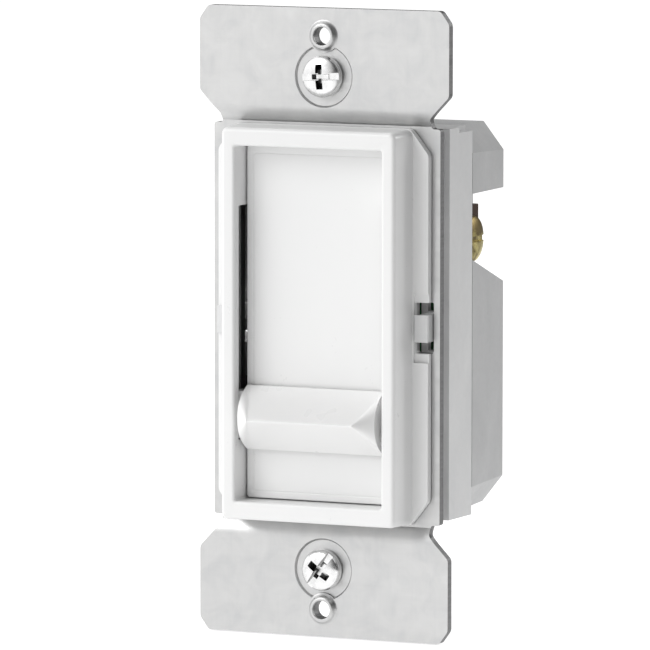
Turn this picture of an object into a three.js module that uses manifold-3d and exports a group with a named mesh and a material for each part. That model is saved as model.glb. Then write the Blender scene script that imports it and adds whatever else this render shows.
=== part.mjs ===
// Slide dimmer for a wall box: a bent metal strap carries a moulded front frame with a full-width
// slider, and a two-shell plastic housing behind it that holds the fader, the triac board and the
// screw terminals. Millimetres. X to the right, Y into the wall, Z up.
// The origin is the centre of the wall plane, the back face of the strap's two ears.
import * as THREE from 'three';
import { ConvexGeometry } from 'three/addons/geometries/ConvexGeometry.js';
import { mergeVertices } from 'three/addons/utils/BufferGeometryUtils.js';
import Module from 'manifold-3d';

// ---------------------------------------------------------------- driving dimensions
const GAP = 0.3;                 // working clearance between pieces that slide or pass through
const SEAM = 0.2;                // clearance between pieces that sit face to face

const SHEET = 1.6;               // strap thickness
const EAR = { halfWidth: 22.9, halfHeight: 53.1, innerZ: 38.8 };
const NECK = { halfWidth: 19.2, topZ: 34.9 };
const PLATE = { halfWidth: 20.8, halfHeight: 33.3, front: -0.3 };
const PLATE_BACK = PLATE.front + SHEET;
const BOX_SCREW_Z = 41.65;       // 83.3 mm between the two box screws
const PLATE_SCREW_Z = 48.42;     // 96.84 mm between the two wall-plate screws
const EAR_RECESS = { radius: 5.3, depth: 0.4 };

const BEZEL = { front: -8.2, halfWidth: 15.98, halfHeight: 33.1, rootWidth: 16.6, rootHeight: 33.3 };
const FLANGE = { front: -1.9, back: PLATE.front - SEAM, halfWidth: 19.3, cornerX: 16.0, cornerZ: 29.1 };
const RECESS = { halfWidth: 13.5, halfHeight: 30.0, floor: -2.0 };
const SIDE_SLOT = { outer: 15.2, front: -6.3, deepOuter: 15.85, deepFront: -4.2, halfHeight: 19.8 };
const PANEL = { front: -3.7, back: RECESS.floor - SEAM, halfWidth: 13.2, halfHeight: 29.8 };

const TRAVEL = 30;               // slider stroke, the stroke of the fader behind it
const KNOB = { halfWidth: 12.6, ridgeHalf: 9.5, top: -10.6, bottom: -21.4, lip: -4.9, back: -4.0 };
const RIDGE = { y: -11.5, z: -15.8 };
const KNOB_END = { front: -8.8, bow: 2.5 };
const ARM = { inner: 13.8, outer: 14.9, front: -6.0, back: -4.3, bottom: -19.5, top: -11.6 };
const CARRIAGE = { front: PLATE_BACK + 0.5, back: 3.9, halfWidth: 15.9, z: -15.2 };

const SHELL = { wall: 1.8, halfHeight: 33, grooveWidth: 18.6, grooveBack: 5, seamWidth: 20.5 };
const FRONT_BODY = { front: PLATE_BACK + SEAM, back: 13.9, halfWidth: 20.2 };
const REAR_COVER = { front: FRONT_BODY.back + SEAM, back: 28.8, halfWidth: 20.0, halfHeight: 32.6 };
const CAVITY = { halfWidth: 17.6, halfHeight: 31.2 };
const POST = { x: 14.5, z: 28.4, radius: 2.9, rearRadius: 2.6, bore: 1.7 };
const NOTCH = { floorX: 14.2, top: 21.4, frontZ: 10.2, backZ: 5.3, wall: 1.6 };
const HOOK = { inner: 17.6, outer: 19.4, halfHeight: 2.3, slotHalfHeight: 4.3, nose: -2.35, armBack: 7.2 };

const BOARD = { front: 9.9, back: 11.5, halfWidth: 17.2, halfHeight: 30.8 };
const FADER = { halfWidth: 4.5, halfHeight: 21.2, front: 5.0, wall: 0.8 };
const SWITCH = { left: 6.2, right: 12.6, front: 6.9, bottom: -19.5, top: 21.5, offEnd: -11.2 };
const SWITCH_STRIP = { x: [7.6, 11.2], halfWidth: 1.2, front: 5.9, sheet: 0.8 };
const TRIAC = { left: -7.5, bodyRight: 1.6, right: 8.0, z: 26.1, halfHeight: 4.7,
  front: 2.1, back: 6.4, holeX: 4.8 };
const TRIAC_LEAD = { x: -9.8, half: 0.4, pitch: 2.54 };
const RESISTOR = { z: [8.5, 13.5], reach: 5.2, radius: 1.25, halfLength: 3.3 };
const DIAC = { z: 18.5, reach: 5.2, radius: 1.0, halfLength: 2.1 };
const CHOKE = { y: 19.3, z: -21, coreRadius: 4.0, coreHalf: 11.5, windingRadius: 6.3, windingHalf: 8.6,
  tailX: 9.5, tailDrop: 5.2, wire: 0.5 };
const SOLDER_END = BOARD.back + 0.9;   // how far the leads reach behind the board

const TERMINAL = { y: 19.5, z: 13.3, headRadius: 4.0, plateX: 15.0, plateBackX: 16.1, tongueHalf: 2.1 };
const GROUND = { y: 7.6, z: -7.5, tabHalf: 4.5, tabBack: 11.4, tabSheet: 1.2, headRadius: 3.4 };
const ROUND = 28;                // sides of a turned piece

// ---------------------------------------------------------------- solids
const { lerp } = THREE.MathUtils;
const wasm = await Module();
wasm.setup();

// The same surface with its shared corners merged and nothing kept but their positions.
function bareMesh(geometry) {
  const bare = geometry.clone();
  bare.deleteAttribute('normal');
  bare.deleteAttribute('uv');
  return mergeVertices(bare);
}

function toSolid(geometry) {
  const bare = bareMesh(geometry);
  return new wasm.Manifold(new wasm.Mesh({
    numProp: 3,
    vertProperties: new Float32Array(bare.attributes.position.array),
    triVerts: new Uint32Array(bare.index.array),
  }));
}

function toGeometry(solid) {
  const { vertProperties, triVerts } = solid.getMesh();
  const geometry = new THREE.BufferGeometry();
  geometry.setAttribute('position', new THREE.BufferAttribute(vertProperties, 3));
  geometry.setIndex(new THREE.BufferAttribute(triVerts, 1));
  geometry.computeVertexNormals();
  return geometry;
}

const combine = (operation) => (first, ...others) =>
  toGeometry(others.reduce((sum, other) => sum[operation](toSolid(other)), toSolid(first)));
const join = combine('add');
const cut = combine('subtract');
const meet = combine('intersect');

function box([x0, x1], [y0, y1], [z0, z1]) {
  const block = new THREE.BoxGeometry(x1 - x0, y1 - y0, z1 - z0);
  return block.translate((x0 + x1) / 2, (y0 + y1) / 2, (z0 + z1) / 2);
}

// The span from inner to outer on one side of the middle.
const across = (side, inner, outer) => (side > 0 ? [inner, outer] : [-outer, -inner]);

const outlineShape = (points) => new THREE.Shape(points.map(([a, b]) => new THREE.Vector2(a, b)));

// A flat piece whose outline is given as [x, z] points, between two depths.
function plateY(points, front, back) {
  const options = { depth: back - front, bevelEnabled: false };
  const plate = new THREE.ExtrudeGeometry(outlineShape(points), options);
  return plate.rotateX(Math.PI / 2).translate(0, back, 0);
}

// A bar whose profile is given as [y, z] points, between two widths.
function barX(points, left, right) {
  const options = { depth: right - left, bevelEnabled: false };
  const bar = new THREE.ExtrudeGeometry(outlineShape(points), options);
  const turn = new THREE.Matrix4().makeBasis(
    new THREE.Vector3(0, 1, 0), new THREE.Vector3(0, 0, 1), new THREE.Vector3(1, 0, 0));
  return bar.applyMatrix4(turn).translate(left, 0, 0);
}

function rodY([frontRadius, backRadius], [y0, y1], [x, z], sides = ROUND) {
  const rod = new THREE.CylinderGeometry(backRadius, frontRadius, y1 - y0, sides);
  return rod.translate(x, (y0 + y1) / 2, z);
}

function rodX([leftRadius, rightRadius], [x0, x1], [y, z], sides = ROUND) {
  const rod = new THREE.CylinderGeometry(rightRadius, leftRadius, x1 - x0, sides);
  return rod.rotateZ(-Math.PI / 2).translate((x0 + x1) / 2, y, z);
}

// A closed outline from the points of its upper right quarter.
function fourfold(quarter) {
  const back = [...quarter].reverse();
  return [
    ...quarter, ...back.map(([x, z]) => [-x, z]),
    ...quarter.map(([x, z]) => [-x, -z]), ...back.map(([x, z]) => [x, -z]),
  ];
}

function roundQuarter(halfWidth, halfHeight, radius, steps = 3) {
  return Array.from({ length: steps + 1 }, (_, i) => {
    const angle = (i / steps) * (Math.PI / 2);
    return [halfWidth - radius * (1 - Math.cos(angle)), halfHeight - radius * (1 - Math.sin(angle))];
  });
}

// A tapered block through outlines at several depths: [[y, quarter outline], ...].
function taper(levels) {
  const points = levels.flatMap(([y, quarter]) =>
    fourfold(quarter).map(([x, z]) => new THREE.Vector3(x, y, z)));
  return new ConvexGeometry(points);
}

// A solid skinned over equal rings of points, closed at both ends by flat caps.
function loft(rings) {
  const sides = rings[0].length;
  const positions = rings.flat(2);
  const faces = [];
  for (let ring = 0; ring + 1 < rings.length; ring += 1) {
    for (let i = 0; i < sides; i += 1) {
      const a = ring * sides + i;
      const b = ring * sides + ((i + 1) % sides);
      faces.push(a, b, b + sides, a, b + sides, a + sides);
    }
  }
  const last = (rings.length - 1) * sides;
  const capPoints = rings[0].map(([, y, z]) => new THREE.Vector2(y, z));
  const lastPoints = rings.at(-1).map(([, y, z]) => new THREE.Vector2(y, z));
  for (const [a, b, c] of THREE.ShapeUtils.triangulateShape(capPoints, [])) faces.push(a, c, b);
  for (const [a, b, c] of THREE.ShapeUtils.triangulateShape(lastPoints, [])) {
    faces.push(last + a, last + b, last + c);
  }
  const geometry = new THREE.BufferGeometry();
  geometry.setAttribute('position', new THREE.Float32BufferAttribute(positions, 3));
  geometry.setIndex(faces);
  geometry.computeVertexNormals();
  return geometry;
}

// The left-hand twin of a right-hand piece, with its faces turned back outwards.
function mirrorX(geometry) {
  const flipped = bareMesh(geometry).scale(-1, 1, 1);
  flipped.setIndex([...flipped.index.array].reverse());
  flipped.computeVertexNormals();
  return flipped;
}

// ---------------------------------------------------------------- materials and scene
const FINISH = {
  strap: [0xc9c9c6, 0.45, 0.8],
  white: [0xf2f2f0, 0.3, 0],
  housing: [0xd2d3d3, 0.55, 0],
  black: [0x222222, 0.5, 0],
  steel: [0xb9bab8, 0.35, 0.9],
  brass: [0xb79a45, 0.35, 0.9],
  green: [0x2f6b3c, 0.4, 0.7],
  copper: [0xb5713c, 0.35, 0.9],
  board: [0x2f5a35, 0.5, 0],
  phenolic: [0x6b4a2c, 0.6, 0],
  ferrite: [0x3a3a3c, 0.7, 0],
  yellow: [0xd8b33a, 0.45, 0],
  blue: [0x4a78a8, 0.4, 0],
  grey: [0x9a9c9e, 0.6, 0],
  fibre: [0xb9a98a, 0.9, 0],
};

const dimmer = new THREE.Group();

function add(name, finish, geometry) {
  const [color, roughness, metalness] = FINISH[finish];
  const mesh = new THREE.Mesh(geometry, new THREE.MeshStandardMaterial({ color, roughness, metalness }));
  mesh.name = name;
  dimmer.add(mesh);
}

const SIDES = [['right', 1], ['left', -1]];
const ENDS = [['top', 1], ['bottom', -1]];
const BOTH = [-1, 1];
const onSide = (geometry, side) => (side > 0 ? geometry : mirrorX(geometry));

// ---------------------------------------------------------------- strap
function strapOutline() {
  const corner = { x: 1.6, z: 2.2 };
  return fourfold([
    [PLATE.halfWidth, PLATE.halfHeight], [NECK.halfWidth, PLATE.halfHeight],
    [NECK.halfWidth, NECK.topZ], [EAR.halfWidth, EAR.innerZ],
    [EAR.halfWidth, EAR.halfHeight - corner.z], [EAR.halfWidth - corner.x, EAR.halfHeight],
  ]);
}

// Side view of the sheet: flat ears, a short slope, and the plate set back between them.
function strapBend() {
  const bend = { earZ: 36, plateZ: 33.5, shift: 0.8 };
  const half = [
    [PLATE.front, bend.plateZ], [-SHEET, bend.earZ], [-SHEET, EAR.halfHeight],
    [0, EAR.halfHeight], [0, bend.earZ + bend.shift], [PLATE_BACK, bend.plateZ + bend.shift],
  ];
  return [...half, ...[...half].reverse().map(([y, z]) => [y, -z])];
}

function boxScrewSlot(z) {
  const slot = { halfLength: 1.1, radius: 2.2 };
  const { radius, halfLength } = slot;
  const ends = BOTH.map((side) => rodY([radius, radius], [-4, 4], [side * halfLength, z]));
  const middle = box([-halfLength, halfLength], [-4, 4], [z - radius, z + radius]);
  return join(middle, ...ends);
}

function mountingYoke() {
  const sheet = meet(barX(strapBend(), -EAR.halfWidth, EAR.halfWidth), plateY(strapOutline(), -4, 4));
  const collars = ENDS.map(([, end]) =>
    rodY([2.15, 2.75], [-SHEET - 0.9, -SHEET + 0.1], [0, end * PLATE_SCREW_Z]));
  const tab = box([-PLATE.halfWidth, -PLATE.halfWidth + GROUND.tabSheet], [PLATE.front, GROUND.tabBack],
    [GROUND.z - GROUND.tabHalf, GROUND.z + GROUND.tabHalf]);
  const { radius, depth } = EAR_RECESS;
  const holes = ENDS.flatMap(([, end]) => [
    rodY([1.5, 1.5], [-4, 4], [0, end * PLATE_SCREW_Z]),
    boxScrewSlot(end * BOX_SCREW_Z),
    rodY([radius, radius - 0.3], [-2, -SHEET + depth], [0, end * BOX_SCREW_Z], 36),
  ]);
  const armSlotHalf = SIDE_SLOT.halfHeight + 0.7;
  const slots = BOTH.flatMap((side) => [
    box(across(side, ARM.inner - 0.5, SIDE_SLOT.deepOuter), [-4, 4], [-armSlotHalf, armSlotHalf]),
    box(across(side, HOOK.inner - GAP, HOOK.outer + GAP), [-4, 4],
      [-HOOK.slotHalfHeight, HOOK.slotHalfHeight]),
  ]);
  const groundHole = rodX([1.85, 1.85], [-24, -18], [GROUND.y, GROUND.z]);
  const rivetHole = rodY([1.8, 1.8], [-4, 4], [TRIAC.holeX, TRIAC.z]);
  return cut(join(sheet, ...collars, tab), ...holes, ...slots, groundHole, rivetHole);
}

// ---------------------------------------------------------------- front frame
function bezel() {
  const { front, halfWidth, halfHeight, rootWidth, rootHeight } = BEZEL;
  const frame = taper([
    [front, roundQuarter(halfWidth - 0.75, halfHeight - 0.75, 0.7)],
    [front + 0.22, roundQuarter(halfWidth - 0.22, halfHeight - 0.22, 0.9)],
    [front + 0.8, roundQuarter(halfWidth, halfHeight, 1.1)],
    [FLANGE.back, roundQuarter(rootWidth, rootHeight, 1.2)],
  ]);
  const outline = fourfold([[FLANGE.halfWidth, FLANGE.cornerZ], [FLANGE.cornerX, rootHeight]]);
  const flange = plateY(outline, FLANGE.front, FLANGE.back);
  const recess = box([-RECESS.halfWidth, RECESS.halfWidth], [front - 1, RECESS.floor],
    [-RECESS.halfHeight, RECESS.halfHeight]);
  const rivetRelief = rodY([3.3, 3.3], [RECESS.floor - 1, FLANGE.back + 1], [TRIAC.holeX, TRIAC.z]);
  const slotHeight = [-SIDE_SLOT.halfHeight, SIDE_SLOT.halfHeight];
  const windowHeight = [-HOOK.slotHalfHeight, HOOK.slotHalfHeight];
  const reliefHeight = [-HOOK.slotHalfHeight - 1.5, HOOK.slotHalfHeight + 1.5];
  const inner = RECESS.halfWidth - GAP;
  const behind = FLANGE.back + 1;
  const sides = BOTH.flatMap((side) => [
    box(across(side, inner, SIDE_SLOT.outer), [SIDE_SLOT.front, behind], slotHeight),
    box(across(side, inner, SIDE_SLOT.deepOuter), [SIDE_SLOT.deepFront, behind], slotHeight),
    box(across(side, HOOK.inner - GAP, 20), [FLANGE.front - 1, behind], windowHeight),
    box(across(side, HOOK.inner - GAP, 20), [FLANGE.front - 1, FLANGE.front + 0.5], reliefHeight),
  ]);
  return cut(join(frame, flange), recess, rivetRelief, ...sides);
}

function trackPanel() {
  return taper([
    [PANEL.front, roundQuarter(PANEL.halfWidth - 0.3, PANEL.halfHeight - 0.3, 0.5)],
    [PANEL.front + 0.3, roundQuarter(PANEL.halfWidth, PANEL.halfHeight, 0.5)],
    [PANEL.back, roundQuarter(PANEL.halfWidth, PANEL.halfHeight, 0.5)],
  ]);
}

// ---------------------------------------------------------------- slider
// Right-hand border of the grip's two hollowed faces: from each lip it runs in to the ridge's end.
function gripBorder(steps) {
  const hollow = { upper: [0.75, -0.5], lower: [0.5, 0.4] };
  const lipReach = KNOB.halfWidth - 0.05;
  const sagging = (lipZ, [sagY, sagZ], t) => {
    const sag = Math.sin(Math.PI * t);
    return [lerp(lipReach, KNOB.ridgeHalf, t),
      lerp(KNOB.lip, RIDGE.y, t) + sagY * sag, lerp(lipZ, RIDGE.z, t) + sagZ * sag];
  };
  const upper = Array.from({ length: steps }, (_, i) => sagging(KNOB.top, hollow.upper, i / steps));
  const lower = Array.from({ length: steps + 1 }, (_, i) =>
    sagging(KNOB.bottom, hollow.lower, 1 - i / steps));
  return [[lipReach, KNOB.back, KNOB.top], ...upper, ...lower, [lipReach, KNOB.back, KNOB.bottom]];
}

// The same count of points around the bowed end face, where the hips end.
function gripEnd(steps) {
  const bowed = (lipZ, t) => [KNOB.halfWidth,
    lerp(KNOB_END.front, KNOB.lip, (1 - t) ** KNOB_END.bow), lerp(lipZ, RIDGE.z, t)];
  const upper = Array.from({ length: steps }, (_, i) => bowed(KNOB.top, i / steps));
  const lower = Array.from({ length: steps + 1 }, (_, i) => bowed(KNOB.bottom, 1 - i / steps));
  return [
    [KNOB.halfWidth, KNOB.back, KNOB.top], ...upper, ...lower,
    [KNOB.halfWidth, KNOB.back, KNOB.bottom]];
}

function sliderKnob() {
  const steps = 6;
  const [border, end] = [gripBorder(steps), gripEnd(steps)];
  const flipped = (ring) => ring.map(([x, y, z]) => [-x, y, z]);
  const grip = loft([flipped(end), flipped(border), border, end]);
  const arm = join(
    box([KNOB.halfWidth - 1, ARM.outer], [ARM.front, ARM.back], [ARM.bottom, ARM.top]),
    box([ARM.inner, ARM.outer], [ARM.front, CARRIAGE.back - 0.4], [ARM.bottom, ARM.top]));
  return join(grip, arm, mirrorX(arm));
}

function sliderCarriage() {
  const { front, back, halfWidth, z } = CARRIAGE;
  const bridge = box([-halfWidth + 1, halfWidth - 1], [front, back], [z - 3, z + 3]);
  const ends = BOTH.map((side) =>
    box(across(side, ARM.inner - 1.3, halfWidth), [front, back], [z - 5.4, z + 5.4]));
  const sockets = BOTH.map((side) => box(across(side, ARM.inner - GAP, ARM.outer + GAP),
    [front - 1, back + 1], [ARM.bottom - GAP, ARM.top + GAP]));
  const leverHole = box([-1.1, 1.1], [front - 1, back + 1], [z - 2.3, z + 2.3]);
  return cut(join(bridge, ...ends), ...sockets, leverHole);
}

// ---------------------------------------------------------------- fader
function faderCase() {
  const { halfWidth, halfHeight, front, wall } = FADER;
  const can = box([-halfWidth, halfWidth], [front, BOARD.front - SEAM], [-halfHeight, halfHeight]);
  const inside = box([-halfWidth + wall, halfWidth - wall], [front + wall, BOARD.front + 1],
    [-halfHeight + wall, halfHeight - wall]);
  const slot = box([-1.1, 1.1], [front - 1, front + 2], [CARRIAGE.z - 3, CARRIAGE.z + TRAVEL + 3]);
  return cut(can, inside, slot);
}

function faderBase() {
  const halfWidth = FADER.halfWidth - FADER.wall - SEAM;
  const halfHeight = FADER.halfHeight - FADER.wall - SEAM;
  return box([-halfWidth, halfWidth], [8.8, BOARD.front - SEAM], [-halfHeight, halfHeight]);
}

function faderLever() {
  const { z } = CARRIAGE;
  return join(
    box([-3.2, 3.2], [6.1, 7.9], [z - 4.5, z + 4.5]),
    box([-0.7, 0.7], [CARRIAGE.front + GAP, 6.5], [z - 2, z + 2]));
}

// A bent contact leaf under the lever block: flat against the block, then down to the track.
function faderWiper() {
  const { z } = CARRIAGE;
  return barX([
    [8.0, z - 3.5], [8.25, z - 3.5], [8.25, z + 0.5], [8.6, z + 3.2], [8.6, z + 3.9],
    [8.4, z + 3.9], [8.4, z + 3.3], [8.0, z + 0.7],
  ], -1.8, 1.8);
}

// ---------------------------------------------------------------- sliding on-off switch
function switchBase() {
  const { left, right, front, bottom, top } = SWITCH;
  return box([left, right], [front, BOARD.front - SEAM], [bottom, top]);
}

// A strip on the base, stepped at its top end into a tail that drops through the board.
function switchContact(x) {
  const { halfWidth, front, sheet } = SWITCH_STRIP;
  const wide = [x - halfWidth, x + halfWidth];
  return join(
    box(wide, [front, front + sheet], [SWITCH.offEnd, SWITCH.top - 1]),
    box(wide, [front, front + sheet], [SWITCH.top - 1.5, SWITCH.top + 1]),
    box(wide, [front, SOLDER_END], [SWITCH.top + 0.3, SWITCH.top + 1]));
}

// A sprung bridge on the back of the carriage that spans the two strips once the slider leaves off.
function switchBridge() {
  const { z } = CARRIAGE;
  return barX([
    [4.1, z - 2.6], [4.4, z - 2.6], [4.4, z - 1.2], [5.6, z - 0.4], [5.6, z + 0.4], [4.4, z + 1.2],
    [4.4, z + 2.6], [4.1, z + 2.6], [4.1, z + 1.0], [5.3, z + 0.2], [5.3, z - 0.2], [4.1, z - 1.0],
  ], SWITCH.left + 0.4, SWITCH.right - 0.4);
}

// ---------------------------------------------------------------- board and its parts
function leadHoles() {
  const pair = (reach, z) => BOTH.map((side) => [side * reach, z]);
  return [
    ...[-1, 0, 1].map((i) => [TRIAC_LEAD.x, TRIAC.z + i * TRIAC_LEAD.pitch]),
    ...RESISTOR.z.flatMap((z) => pair(RESISTOR.reach, z)),
    ...pair(DIAC.reach, DIAC.z),
    ...pair(CHOKE.tailX, CHOKE.z - CHOKE.tailDrop),
  ];
}

// The slots that a terminal plate's tongue passes through, one on each side.
function tongueSlots(y0, y1) {
  const half = TERMINAL.tongueHalf + GAP;
  return BOTH.map((side) => box(
    across(side, TERMINAL.plateX - GAP, TERMINAL.plateBackX + GAP), [y0, y1],
    [TERMINAL.z - half, TERMINAL.z + half]));
}

function circuitBoard() {
  const { front, back, halfWidth, halfHeight } = BOARD;
  const through = [front - 1, back + 1];
  const sheet = plateY(fourfold(roundQuarter(halfWidth, halfHeight, 1.5)), front, back);
  const groundRelief = box([-20, -16.2], through, [GROUND.z - 7.6, GROUND.z + 7.6]);
  const contactSlots = SWITCH_STRIP.x.map((x) => box(
    [x - SWITCH_STRIP.halfWidth - GAP, x + SWITCH_STRIP.halfWidth + GAP], through,
    [SWITCH.top + 0.1, SWITCH.top + 1.3]));
  const leads = leadHoles().map((at) => rodY([0.8, 0.8], through, at, 10));
  return cut(sheet, ...cornerRods(1.9, ...through), groundRelief, ...tongueSlots(...through),
    ...contactSlots, ...leads);
}

function triac() {
  const { left, bodyRight, right, z, halfHeight, front, back, holeX } = TRIAC;
  const block = box([left, bodyRight], [front, back], [z - halfHeight, z + halfHeight]);
  const tab = cut(
    box([left + 1, right], [front, front + 1.3], [z - halfHeight, z + halfHeight]),
    rodY([1.9, 1.9], [front - 1, front + 2], [holeX, z]));
  const { x, half, pitch } = TRIAC_LEAD;
  const leads = [-1, 0, 1].map((i) => join(
    box([x - half, left + 1], [3.8, 4.4], [z + i * pitch - half, z + i * pitch + half]),
    box([x - half, x + half], [3.8, SOLDER_END], [z + i * pitch - half, z + i * pitch + half])));
  return join(block, tab, ...leads);
}

function triacPad() {
  const half = TRIAC.halfHeight + 0.2;
  const sheet = box([TRIAC.left + 0.8, TRIAC.right + 0.4], [PLATE_BACK + 0.15, TRIAC.front - 0.15],
    [TRIAC.z - half, TRIAC.z + half]);
  return cut(sheet, rodY([1.9, 1.9], [0, 3], [TRIAC.holeX, TRIAC.z]));
}

function triacRivet() {
  const at = [TRIAC.holeX, TRIAC.z];
  return join(
    rodY([2.2, 2.8], [PLATE.front - 1.0, PLATE.front - 0.15], at),
    rodY([1.5, 1.5], [PLATE.front - 0.5, 4.2], at),
    rodY([2.7, 2.1], [TRIAC.front + 1.5, TRIAC.front + 2.4], at));
}

// An axial component lying on the board, with both leads bent down through it.
function axialPart({ radius, halfLength, reach }, z) {
  const wire = 0.35;
  const y = BOARD.back + radius + 0.3;
  const run = rodX([wire, wire], [-reach - wire, reach + wire], [y, z], 8);
  const legs = BOTH.map((side) => rodY([wire, wire], [BOARD.front - 0.6, y], [side * reach, z], 8));
  return join(rodX([radius, radius], [-halfLength, halfLength], [y, z], 20), run, ...legs);
}

function chokeCore() {
  const { y, z, coreRadius, coreHalf } = CHOKE;
  return rodX([coreRadius, coreRadius], [-coreHalf, coreHalf], [y, z]);
}

function chokeWinding() {
  const { y, z, coreRadius, windingRadius, windingHalf, tailX, tailDrop, wire } = CHOKE;
  const bore = coreRadius + GAP;
  const tube = cut(
    rodX([windingRadius, windingRadius], [-windingHalf, windingHalf], [y, z], 36),
    rodX([bore, bore], [-windingHalf - 1, windingHalf + 1], [y, z]));
  const tailZ = z - tailDrop;
  const tails = BOTH.map((side) => join(
    rodY([wire, wire], [BOARD.front - 0.6, y], [side * tailX, tailZ], 10),
    rodX([wire, wire], across(side, windingHalf - 0.6, tailX + wire * 0.8), [y, tailZ], 10)));
  return join(tube, ...tails);
}

// ---------------------------------------------------------------- housing shells
const cornerRods = (radius, y0, y1) => ENDS.flatMap(([, end]) => SIDES.map(([, side]) =>
  rodY([radius, radius], [y0, y1], [side * POST.x, end * POST.z])));

// A snap arm on each side: its nose hooks over the strap, and slots above and below free it to flex.
function snapHooks(front) {
  const height = [-HOOK.halfHeight, HOOK.halfHeight];
  return BOTH.flatMap((side) => [
    box(across(side, HOOK.inner, HOOK.outer), [HOOK.nose, front + 1], height),
    box(across(side, HOOK.inner - 0.6, HOOK.outer), [HOOK.nose, FLANGE.front - 0.15], height),
  ]);
}

function hookSlots(front) {
  return BOTH.flatMap((side) => BOTH.map((end) => box(
    across(side, CAVITY.halfWidth - 1, SHELL.grooveWidth + 0.1), [front - 1, HOOK.armBack],
    across(end, HOOK.halfHeight, HOOK.slotHalfHeight))));
}

// Rails that carry the slider's carriage, and shelves that close the terminal pockets.
function innerWalls({ back }) {
  return BOTH.flatMap((side) => [
    box(across(side, 15.4, CAVITY.halfWidth + 0.5), [CARRIAGE.back + 0.4, 5.6], [-25.5, 25.5]),
    box(across(side, NOTCH.floorX - NOTCH.wall, CAVITY.halfWidth + 1), [12.3, back],
      [NOTCH.backZ - NOTCH.wall, NOTCH.top + NOTCH.wall]),
  ]);
}

function frontBody() {
  const { front, back, halfWidth } = FRONT_BODY;
  const corner = (width) => [[width, SHELL.halfHeight]];
  const neck = taper([
    [front, corner(SHELL.grooveWidth)], [SHELL.grooveBack + 0.5, corner(SHELL.grooveWidth)]]);
  const shell = taper([[SHELL.grooveBack, corner(halfWidth)], [back, corner(SHELL.seamWidth)]]);
  const cavity = box([-CAVITY.halfWidth, CAVITY.halfWidth], [front - 1, back + 1],
    [-CAVITY.halfHeight, CAVITY.halfHeight]);
  const ring = cut(join(neck, shell), cavity);
  const groundWall = box([-18.2, -16.6], [front, back], [GROUND.z - 7.2, GROUND.z + 7.2]);
  const groundPocket = box([-24, -17.8], [front - 1, 13], [GROUND.z - 6, GROUND.z + 6]);
  const latchSlots = BOTH.map((side) => box(
    across(side, 19.2, 24), [8.8, back + 1], [SHELL.halfHeight - 0.9, SHELL.halfHeight + 1]));
  const filled = join(ring, ...cornerRods(POST.radius, front, BOARD.front - SEAM),
    ...innerWalls(FRONT_BODY), ...snapHooks(front), groundWall);
  return cut(filled, groundPocket, ...latchSlots, ...hookSlots(front), ...tongueSlots(12, back + 1),
    ...cornerRods(POST.bore, 2.3, BOARD.front));
}

function coverOutline(halfWidth, halfHeight, inset = 0) {
  const chamfer = { x: 3.7, z: 4.7 };
  return [
    [halfWidth - inset, halfHeight - chamfer.z - inset * 0.5],
    [halfWidth - chamfer.x - inset * 0.5, halfHeight - inset],
  ];
}

// Wedge-shaped space beside each terminal, open to the side and to the back.
function terminalSpace(grow) {
  const { floorX, top, frontZ, backZ } = NOTCH;
  const slope = (backZ - frontZ) / (REAR_COVER.back - REAR_COVER.front);
  const [y0, y1] = [REAR_COVER.front - (grow ? 0 : 1), REAR_COVER.back + (grow ? -0.01 : 1)];
  const lowAt = (y) => frontZ + slope * (y - REAR_COVER.front) - grow;
  return barX([[y0, lowAt(y0)], [y1, lowAt(y1)], [y1, top + grow], [y0, top + grow]], floorX - grow, 24);
}

function rearCover() {
  const { front, back, halfWidth, halfHeight } = REAR_COVER;
  const outside = taper([
    [front, coverOutline(SHELL.seamWidth, SHELL.halfHeight)],
    [back - 0.4, coverOutline(halfWidth, halfHeight)],
    [back, coverOutline(halfWidth - 0.4, halfHeight - 0.4)],
  ]);
  const inside = taper([
    [front - 1, coverOutline(SHELL.seamWidth, SHELL.halfHeight, SHELL.wall)],
    [back - SHELL.wall, coverOutline(halfWidth, halfHeight, SHELL.wall)],
  ]);
  const pocketWall = meet(terminalSpace(NOTCH.wall), outside);
  const posts = cornerRods(POST.rearRadius, BOARD.back + SEAM, back - 1);
  const shell = join(cut(outside, inside), pocketWall, mirrorX(pocketWall), ...posts);
  const pocket = terminalSpace(0);
  return cut(shell, pocket, mirrorX(pocket),
    ...cornerRods(POST.bore, BOARD.back - 1, back + 1), ...cornerRods(3.0, back - 2.8, back + 1));
}

// ---------------------------------------------------------------- fasteners and terminals
// A screw along Y, head towards -Y, with a slot crossed by a short second slot.
function crossHeadY(headRadius, headFront, headBack, shankRadius, tip, at, angle) {
  const dome = (headBack - headFront) * 0.35;
  const head = join(
    rodY([headRadius * 0.72, headRadius], [headFront, headFront + dome], at),
    rodY([headRadius, headRadius], [headFront + dome, headBack], at));
  const body = join(head, rodY([shankRadius, shankRadius], [headBack - 0.2, tip], at));
  const slots = [
    { halfX: headRadius + 1, halfZ: 0.45, depth: 0.9 },
    { halfX: 0.45, halfZ: headRadius * 0.6, depth: 1.3 },
  ];
  const drive = slots.map(({ halfX, halfZ, depth }) =>
    box([-halfX, halfX], [headFront - 1, headFront + depth], [-halfZ, halfZ])
      .rotateY(angle).translate(at[0], 0, at[1]));
  return cut(body, ...drive);
}

function housingScrew(x, z) {
  const turned = crossHeadY(2.6, 0, 1.6, 1.4, 24.5, [0, 0], Math.PI / 4);
  return turned.rotateZ(Math.PI).translate(x, REAR_COVER.back - 0.9, z);
}

function terminalPlate() {
  const { plateX, plateBackX, z, tongueHalf } = TERMINAL;
  const sheet = [plateX, plateBackX];
  const plate = join(
    box(sheet, [15.4, 24.2], [10.2, 18.6]), box(sheet, [20, 26.8], [13.6, 18.6]),
    box(sheet, [9.3, 16.0], [z - tongueHalf, z + tongueHalf]));
  return cut(plate, rodX([2.05, 2.05], [14, 17], [TERMINAL.y, TERMINAL.z]));
}

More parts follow.
